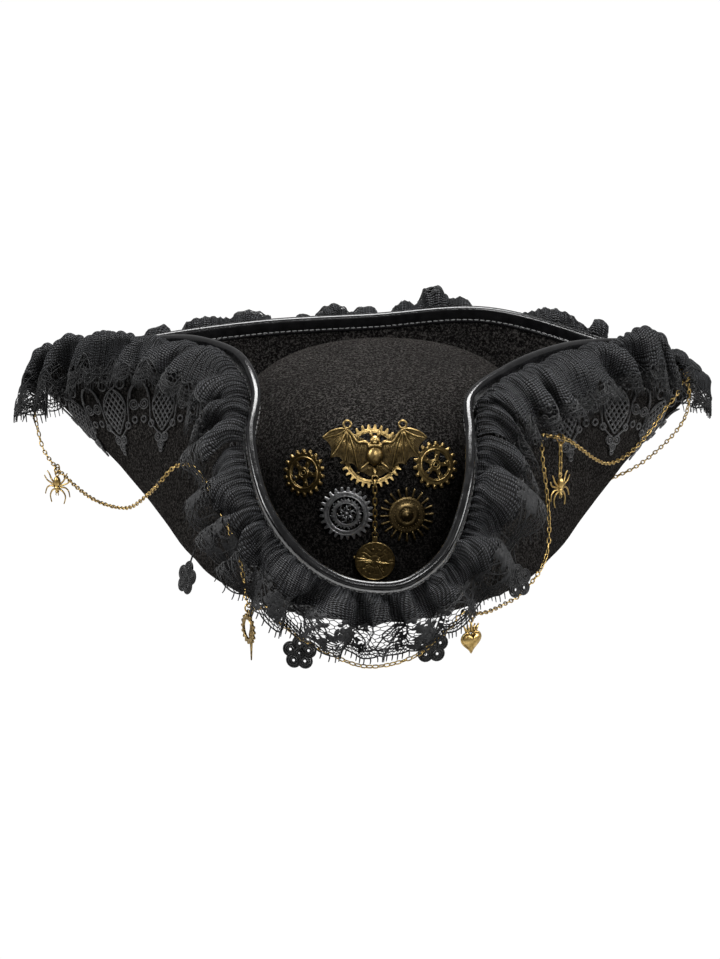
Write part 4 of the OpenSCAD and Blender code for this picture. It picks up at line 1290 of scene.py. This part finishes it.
def build_bat():
    place = turned("X", 80, (PENDANT_TOP[0], -103.6, 84))
    tips = np.array([[28, 8.5], [24, -2.5], [16.5, -6], [9, -9.5]])
    wrist = np.array([15, 13.0])
    membrane, metal = [], []
    outline = [[2.5, 6], [8, 8.5], [11.5, 10.5], [14, 13.6], [20, 12.8], [25, 11]]
    for a, b, depth in zip(tips[:-1], tips[1:], (2.4, 2.6, 2.4)):
        for u in np.linspace(0, 0.9, 8):
            outline.append(a + (b - a) * u - square_to(a, b) * depth * math.sin(math.pi * u))
    outline += [tips[3], [6, -7], [3, -4]]
    outline = np.array(outline, float)
    for side in (-1, 1):
        flip = np.array([side, 1.0])
        membrane.append(plate([outline * flip], 0.9, 0.15))
        for a, b in zip(tips[:-1], tips[1:]):
            for i in range(1, 8):
                u = i / 8
                end = a + (b - a) * u - square_to(a, b) * 2.2 * math.sin(math.pi * u)
                start = wrist + (end - wrist) * 0.12
                points = [start, start * 0.45 + end * 0.55, wrist + (end - wrist) * 0.94]
                metal.append(vein(points, (0.95, 1.05, 0.9), flip))
        for u in np.linspace(0.15, 0.9, 7):
            start = np.array([4.0, 6.0]) + u * np.array([9.5, 6.0])
            end = np.array([3.4, -3.0]) + u * np.array([5.2, -5.6])
            metal.append(vein([start, (start + end) / 2, end], (0.9, 1.05, 0.9), flip))
        for tip in tips:
            u = np.linspace(0, 1, 8)[:, None]
            line = wrist + (tip - wrist) * u + square_to(tip, wrist) * 0.9 * np.sin(np.pi * u)
            line = np.concatenate([line * flip, 1.0 + 0.25 * np.sin(np.pi * u)], 1)
            metal.append(tubes(line, UP, np.linspace(0.62, 0.3, 8)[None], 8))
        arm = np.array([[2.5, 4.5], [5.0, 6.3], [8.3, 6.0], [10.5, 7.5], [12.8, 11.0], [15, 13.2]])
        line = spline(np.concatenate([arm * flip, np.full((6, 1), 1.3)], 1), np.linspace(0, 5, 20))
        metal.append(tubes(line, UP, np.linspace(0.95, 0.62, 20)[None], 8))
        top = np.array([[15, 13.2], [19, 13.4], [24, 11.8], [28, 8.5]])
        line = spline(np.concatenate([top * flip, np.full((4, 1), 1.1)], 1), np.linspace(0, 3, 14))
        metal.append(tubes(line, UP, np.linspace(0.6, 0.42, 14)[None], 8))
        metal.append(moved(torus(2.0, 0.58, 0.85, 36), turned("Z", 0, (14.8 * side, 15.7, 0))))
        leg = np.array([[2.2, -3.5, 1.2], [4.4, -5.6, 1.4], [6.6, -7.4, 1.2], [8.8, -9.8, 1.0]])
        metal.append(tubes(leg * [side, 1, 1], UP, [[0.7, 0.55, 0.5, 0.4]], 8))
        for toe in (-0.9, 0.0, 0.9):
            foot = np.array([8.8 * side, -9.8, 1.0])
            metal.append(tubes([foot, foot + [0.5 * side + toe, -1.2, 0.1]], UP, [[0.32, 0.16]], 6))
        ear = np.array([1.75 * side, 9.6, 1.8])
        line = [ear, ear + [0.45 * side, 1.2, -0.1], ear + [0.7 * side, 2.9, -0.4]]
        metal.append(tubes(line, UP, [[1.05, 0.85, 0.12]], 8))
        metal.append(ball([1.05 * side, 8.3, 4.1], [0.42, 0.42, 0.36], 8, 12))
        metal.append(ball([2.5 * side, 4.6, 2.0], [1.5, 1.7, 1.2], 10, 14, 0.05))
    half = [[3.2, -4], [8.6, -9.6], [5.6, -10.4], [2.9, -12.2]]
    fan = [*half, [0, -12.4], *[[-x, y] for x, y in half[::-1]]]
    membrane.append(plate([fan], 0.9, 0.15))
    for k in range(-6, 7):
        end = np.array([k * 1.05, -12.0 + 0.045 * k * k, 1.0])
        line = np.array([[k * 0.42, -4.6, 1.0], [k * 0.72, -8.3, 1.1], end])
        size = [[0.2, 0.3, 0.2]] if k == 0 else [[0.12, 0.18, 0.12]]
        metal.append(tubes(line, UP, size, 5))
    metal += [
        ball([0, -1.0, 2.6], [4.3, 5.2, 3.3], 22, 32),  # body
        ball([0, -4.6, 4.4], [0.45, 0.45, 0.3], 8, 12),
        ball([0, 7.3, 2.4], [2.7, 2.6, 2.2], 14, 20),  # head
        ball([0, 6.3, 4.2], [1.15, 0.85, 0.9], 10, 14),  # muzzle
    ]
    for k in range(9):
        a = math.radians(20 + 17.5 * k)
        centre = [3.0 * math.cos(a), 3.4 + 1.3 * math.sin(a), 2.6 + math.sin(a)]
        metal.append(ball(centre, [0.8, 1.1, 0.8], 8, 12))
    metal = placed(metal, place)
    metal.append(ring_about(PENDANT_TOP + [0, 0, 1.6], 1.6, 0.5, 90))
    tail = PENDANT_TOP + np.array([0, 0, 3.0])
    line = [tail, tail + [0, 2.4, 2.2], tail + [-1.0, 5.0, 4.6]]
    metal.append(tubes(line, ALONG_X, [[0.65, 0.8, 0.9]], 8))
    make("bat_membranes", placed(membrane, place), BRONZE)
    body = make("bat_casting", metal, BRASS)
    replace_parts(body, "bat_pendant")


build_bat()

# ---- pendant and medallion
PLAIN_LINKS = ("pendant_ring", "pendant_chain", "medallion_ring", "left_spider_ring",
               "right_spider_ring", "heart_ring", "clock_ring")
for node in PLAIN_LINKS:
    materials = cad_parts[node].data.materials
    for k in range(len(materials)):
        materials[k] = GOLD

MEDALLION_R = 10.8
loop_centre = np.array([1.6, -110.4, 40.97]) - [0, 0, 1.5 - 0.9 - 0.1]


def build_medallion():
    disc = loop_centre - [0, 0, 1.5 + 2.4 + MEDALLION_R]
    rng = np.random.default_rng(8)
    rows, steps = 40, 240
    r = np.linspace(0.02, MEDALLION_R - 0.75, rows)[:, None]
    a = around(steps)[None]
    cut = np.zeros((rows, steps))
    for _ in range(34):
        centre = rng.uniform(0, 2 * np.pi)
        bend = rng.uniform(-0.05, 0.05)
        start, stop = sorted(rng.uniform(0.5, MEDALLION_R, 2))
        d = (a - centre - bend * r + np.pi) % (2 * np.pi) - np.pi
        inside = (r > start) & (r < max(stop, start + 3))
        cut -= 0.22 * np.exp(-((d * r / 0.22) ** 2)) * inside
    inner, outer = (0.15 * np.exp(-(((r - at) / 0.2) ** 2)) for at in (3.4, 7.2))
    cut -= inner + outer * (np.sin(12 * a) > 0)
    face = np.stack([r * np.cos(a), r * np.sin(a), 1.35 + np.maximum(cut, -0.4)], -1)
    parts = [surface(face, wrap_columns=True, flip=True, caps=[np.arange(steps)[None]])]
    q = MEDALLION_R
    rim = [[q - 0.8, 1.3], [q - 0.6, 1.65], [q - 0.25, 1.7], [q, 1.4], [q, 0.4], [q - 0.3, 0.05]]
    parts.append(lathe([*rim, [0.01, 0]], 120))
    parts = placed(parts, turned("X", 90, disc + [0, 0.7, 0]))
    parts.append(ring_about(loop_centre, 1.5, 0.45, 90))
    half = [[0.8, 3.1], [1.5, 2.2], [1.3, -0.5], [2.3, -2.2]]
    neck = plate([[[-0.8, 3.1], *half, *[[-x, y] for x, y in half[:0:-1]]]], 1.2, 0.2)
    parts += placed([neck], turned("X", 90, loop_centre - [0, -0.6, 3.9]))
    parts.append(ball(disc - [MEDALLION_R + 0.3, 0, -2], [0.9, 0.7, 0.9], 10, 16))
    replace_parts(make("medallion_casting", parts, BRASS, "medallion"), "medallion")


build_medallion()

# ---- charms
CHARM_RING_R, CHARM_LOOP_R, RING_WIRE, LOOP_WIRE, GAP = 2.6, 1.3, 0.45, 0.4, 0.1
CHARM_DROP = 2 * CHARM_RING_R - CHAIN_D / 2 - RING_WIRE - 0.35
LOOP_DROP = 2 * CHARM_LOOP_R - RING_WIRE - LOOP_WIRE - GAP


def charm_place(chain, t, twist=0.0, shift=(0, 0, 0)):
    """Matrix of a charm's own frame, and its turn in degrees.

    X runs along its chain but for a twist, and its loop's bottom is at the origin.
    """
    route = CHAINS[chain]
    at = spline(route, np.array(t)) - [0, 0, CHARM_DROP + LOOP_DROP]
    way = spline(route, np.array(t + 0.05)) - spline(route, np.array(t - 0.05))
    turn = math.degrees(math.atan2(way[1], way[0])) + twist
    return turned("Z", turn, at + np.asarray(shift)), turn


def spider_parts():
    parts = []
    legs = [[[1.6, -5.0], [4.2, -2.4], [5.6, 0.6], [6.9, 2.4]],
            [[1.8, -5.8], [5.4, -4.4], [7.4, -3.2], [8.9, -0.6]],
            [[1.8, -6.8], [5.0, -6.6], [7.4, -8.4], [8.4, -12.0]],
            [[1.3, -7.8], [3.8, -9.4], [5.2, -12.6], [4.2, -16.6]]]
    for side in (-1, 1):
        for leg in legs:
            rows = np.array([[side * x, 0.35 * math.sin(k), z] for k, (x, z) in enumerate(leg)])
            line = spline(rows, np.linspace(0, 3, 14))
            parts.append(tubes(line, ALONG_Y, np.linspace(0.62, 0.34, 14)[None], 7))
    parts += [
        ball([0, -0.2, -3.4], [2.1, 1.9, 3.4], 16, 22, 0.01),
        ball([0, -0.3, -7.4], [1.75, 1.45, 1.7], 14, 18),
        ball([0, -0.3, -9.4], [1.25, 1.1, 1.1], 12, 16),
    ]
    for side in (-1, 1):
        parts.append(ball([0.5 * side, -1.1, -9.9], [0.32, 0.3, 0.32], 8, 10))
        fang = [[0.6 * side, -0.3, -10.2], [1.0 * side, -0.5, -11.3], [0.5 * side, -0.5, -12.0]]
        parts.append(tubes(fang, ALONG_Y, [[0.35, 0.3, 0.15]], 6))
    return parts


def charm_loop():
    return ring_about(np.array([0, 0, CHARM_LOOP_R]), CHARM_LOOP_R, LOOP_WIRE, 90)


def build_spiders():
    place, _ = charm_place("chain_left_tip", 2.6, 34)
    parts = placed([charm_loop(), *spider_parts()], place)
    piece = make("left_spider_casting", parts, GOLD, "left_spider")
    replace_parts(piece, "left_spider")
    link_wire, link_end, link_half = 0.38, 0.92, 1.105
    pitch = 2 * (link_half + link_end) - 2 * link_wire - GAP / 2
    links, hook = 5, LOOP_WIRE + link_wire + 0.02
    drop = links * pitch - hook - GAP
    parts = [charm_loop()]
    a = around(20)
    straight = link_half * np.sign(np.sin(a)) * np.minimum(1, np.abs(np.sin(a)) * 3)
    for i in range(links):
        z = -(link_half + link_end + i * pitch - hook)
        oval = np.stack([link_end * np.cos(a), 0 * a, straight + link_end * np.sin(a) + z], 1)
        up = ALONG_Y
        if i % 2:
            oval, up = oval[:, [1, 0, 2]], ALONG_X
        parts.append(tubes(oval, up, link_wire, 8, True))
    lower = [ring_about(np.array([0, 0, -CHARM_LOOP_R]), CHARM_LOOP_R, LOOP_WIRE, 90)]
    lower += placed(spider_parts(), turned("Z", 0, (0, 0, -2 * CHARM_LOOP_R)))
    parts += placed(lower, turned("Z", 0, (0, 0, -drop)))
    place, _ = charm_place("chain_right_wing", 0.8)
    piece = make("right_spider_casting", placed(parts, place), GOLD, "right_spider")
    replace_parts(piece, "right_spider")


def heart_outline(k, points):
    a = np.linspace(0, 2 * np.pi, points, endpoint=False)
    y = 13 * np.cos(a) - 5 * np.cos(2 * a) - 2 * np.cos(3 * a) - np.cos(4 * a)
    return np.stack([k * 16 * np.sin(a) ** 3, k * y], 1)


def build_heart():
    count, points, middle = 16, 72, [0, 0.9]
    outline = heart_outline(0.375, points)
    rows = np.linspace(0.02, 1, count)
    parts = []
    for side in (-1, 1):
        high = side * (0.5 + 2.1 * np.sqrt(np.maximum(0, 1 - rows**2.2)))
        plan = rows[:, None, None] * (outline - middle)[None] + middle
        high = np.broadcast_to(high[:, None, None], (count, points, 1))
        dome = np.concatenate([plan, high], 2)
        parts.append(surface(dome, wrap_columns=True, flip=side > 0))
    rim = np.concatenate([outline * 1.03, np.zeros((points, 1))], 1)
    parts.append(tubes(rim, UP, 0.62, 8, True))
    parts = placed(parts, turned("X", 90, (0, 0, -10.5)))
    for i in range(-2, 3):
        root = np.array([1.5 * i, 0, -4.6])
        tip = root + [0.85 * i, 0, 3.4 - 0.35 * abs(i)]
        parts.append(tubes([root, (root + tip) / 2, tip], ALONG_Y, [[1.0, 0.72, 0.3]], 8))
        parts.append(ball(tip, [0.55, 0.55, 0.55], 8, 12))
    u = np.linspace(-1.5, 1.5, 12)
    band = np.stack([np.linspace(-3.6, 3.6, 12), 0 * u, -4.9 - 0.25 * np.cos(u)], 1)
    parts.append(tubes(band, ALONG_Y, 0.75, 8))
    for i in range(-3, 4):
        parts.append(ball([1.05 * i, -0.75, -5.0], [0.36, 0.36, 0.36], 6, 10))
    parts.append(tubes([[0, 0, -5.5], [0, 0, -2], [0, 0, 0.2]], ALONG_Y, [[1.1, 0.7, 0.5]], 8))
    place, _ = charm_place("chain_right_front", 0.8, -28)
    parts = placed([charm_loop(), *parts], place)
    piece = make("heart_casting", parts, GOLD, "heart_charm")
    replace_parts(piece, "heart_charm")


def build_clock():
    for node, side in (("clock_gear_charm", -1), ("clock_hand_charm", 1)):
        _, turn = charm_place("chain_left_front", 8)
        a = math.radians(turn)
        shift = np.array([-math.sin(a), math.cos(a), 0]) * 0.8 * side + [0, 0, 0.3]
        place, _ = charm_place("chain_left_front", 8, 0, shift)
        if side < 0:
            parts = [plate([toothed(6.9, 8.4, 16, 0.9), round_hole(5.2)], 1.2, 0.2)]
            parts.append(torus(5.6, 0.35, 1.1))
            parts = placed(parts, turned("X", 90, (0, 0.6, -8)))
        else:
            half = [[0.9, -17], [2.4, -12], [0.8, -8], [0.6, 0.4]]
            hand = [*[[-x, y] for x, y in half[2::-1]], [0, -26], *half, [-0.6, 0.4]]
            stud = moved(torus(1.0, 0.25, 0.9, 20, 6), turned("Z", 0, (0, -12, 0)))
            parts = [plate([hand], 1.0, 0.2), stud]
            parts = placed(parts, turned("X", 90, (0, 0.5, 0)))
        parts = placed([charm_loop(), *parts], place)
        piece = make(f"{node}_casting", parts, BRASS, node)
        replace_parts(piece, node)


build_spiders()
build_heart()
build_clock()

TACKS = [("chain_left_tip", 0.15), ("chain_left_tip", 6.85), ("chain_left_front", 9.8),
         ("chain_right_front", 0.2), ("chain_right_front", 11.8), ("chain_right_wing", 9.8),
         ("chain_right_back", 10.8)]


def build_tacks():
    parts = []
    for chain, t in TACKS:
        route = CHAINS[chain]
        behind, at, ahead = spline(route, t + np.array([-0.05, 0, 0.05]))
        way = unit(ahead - behind)
        side = unit(np.cross(way, [0.3, 0.2, 1]))
        over = np.cross(side, way)
        u = np.linspace(0, 5, 70)[:, None]
        turn = 2 * np.pi * u
        line = at + way * (u - 2.5) * 0.34 + 1.72 * (np.cos(turn) * side + np.sin(turn) * over)
        parts.append(tubes(line, way, 0.22, 6))
    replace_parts(make("tack_threads", parts, BLACK_THREAD), "chain_tacks")


build_tacks()


# ---- floor and light
FLOOR_GREY = 0.42  # what the floor gives back to the hat
FLOOR_SEEN = 1.02  # what the camera sees, just over white


def build_stage():
    side, low = 14.0, -0.55
    corners = [(-side, -side, low), (side, -side, low), (side, side, low), (-side, side, low)]
    mesh = bpy.data.meshes.new("floor")
    mesh.from_pydata(corners, [], [(0, 1, 2, 3)])
    floor = bpy.data.objects.new("floor", mesh)
    scene.collection.objects.link(floor)
    n = Nodes("floor_paper")
    n.put(Roughness=0.9)
    n.shader.inputs["Base Color"].default_value = (*(FLOOR_GREY,) * 3, 1)
    paper = n.add("ShaderNodeEmission")
    paper.inputs["Strength"].default_value = FLOOR_SEEN
    seen = n.add("ShaderNodeLightPath")
    mixed = n.add("ShaderNodeMixShader")
    n.link(seen.outputs["Is Camera Ray"], mixed.inputs[0])
    n.link(n.shader.outputs[0], mixed.inputs[1])
    n.link(paper.outputs[0], mixed.inputs[2])
    n.link(mixed.outputs[0], n.tree.nodes["Material Output"].inputs["Surface"])
    mesh.materials.append(n.material)


def area_light(name, at, target, size, watts):
    data = bpy.data.lights.new(name, "AREA")
    data.shape = "RECTANGLE"
    data.size, data.size_y = size
    data.energy = watts
    light = bpy.data.objects.new(name, data)
    scene.collection.objects.link(light)
    light.location = at
    way = np.asarray(target, float) - np.asarray(at, float)
    tilt = math.acos(-way[2] / np.linalg.norm(way))
    light.rotation_euler = (tilt, 0, math.atan2(way[1], way[0]) - math.pi / 2)


build_stage()
world = bpy.data.worlds.new("studio")
scene.world = world
world.use_nodes = True
world.node_tree.nodes["Background"].inputs["Color"].default_value = (1, 1, 1, 1)
world.node_tree.nodes["Background"].inputs["Strength"].default_value = 0.24
area_light("top", (0.0, 0.45, 1.7), (0, 0, 0), (1.1, 0.9), 62)
area_light("left", (-1.7, -0.4, 0.9), (0, 0, 0.03), (0.4, 1.2), 30)
area_light("right", (1.7, -0.5, 0.8), (0, 0, 0.03), (0.4, 1.2), 28)
area_light("front", (0.4, -1.9, 1.4), (0, 0, 0.03), (0.6, 0.35), 18)
scene.view_settings.view_transform = "Standard"
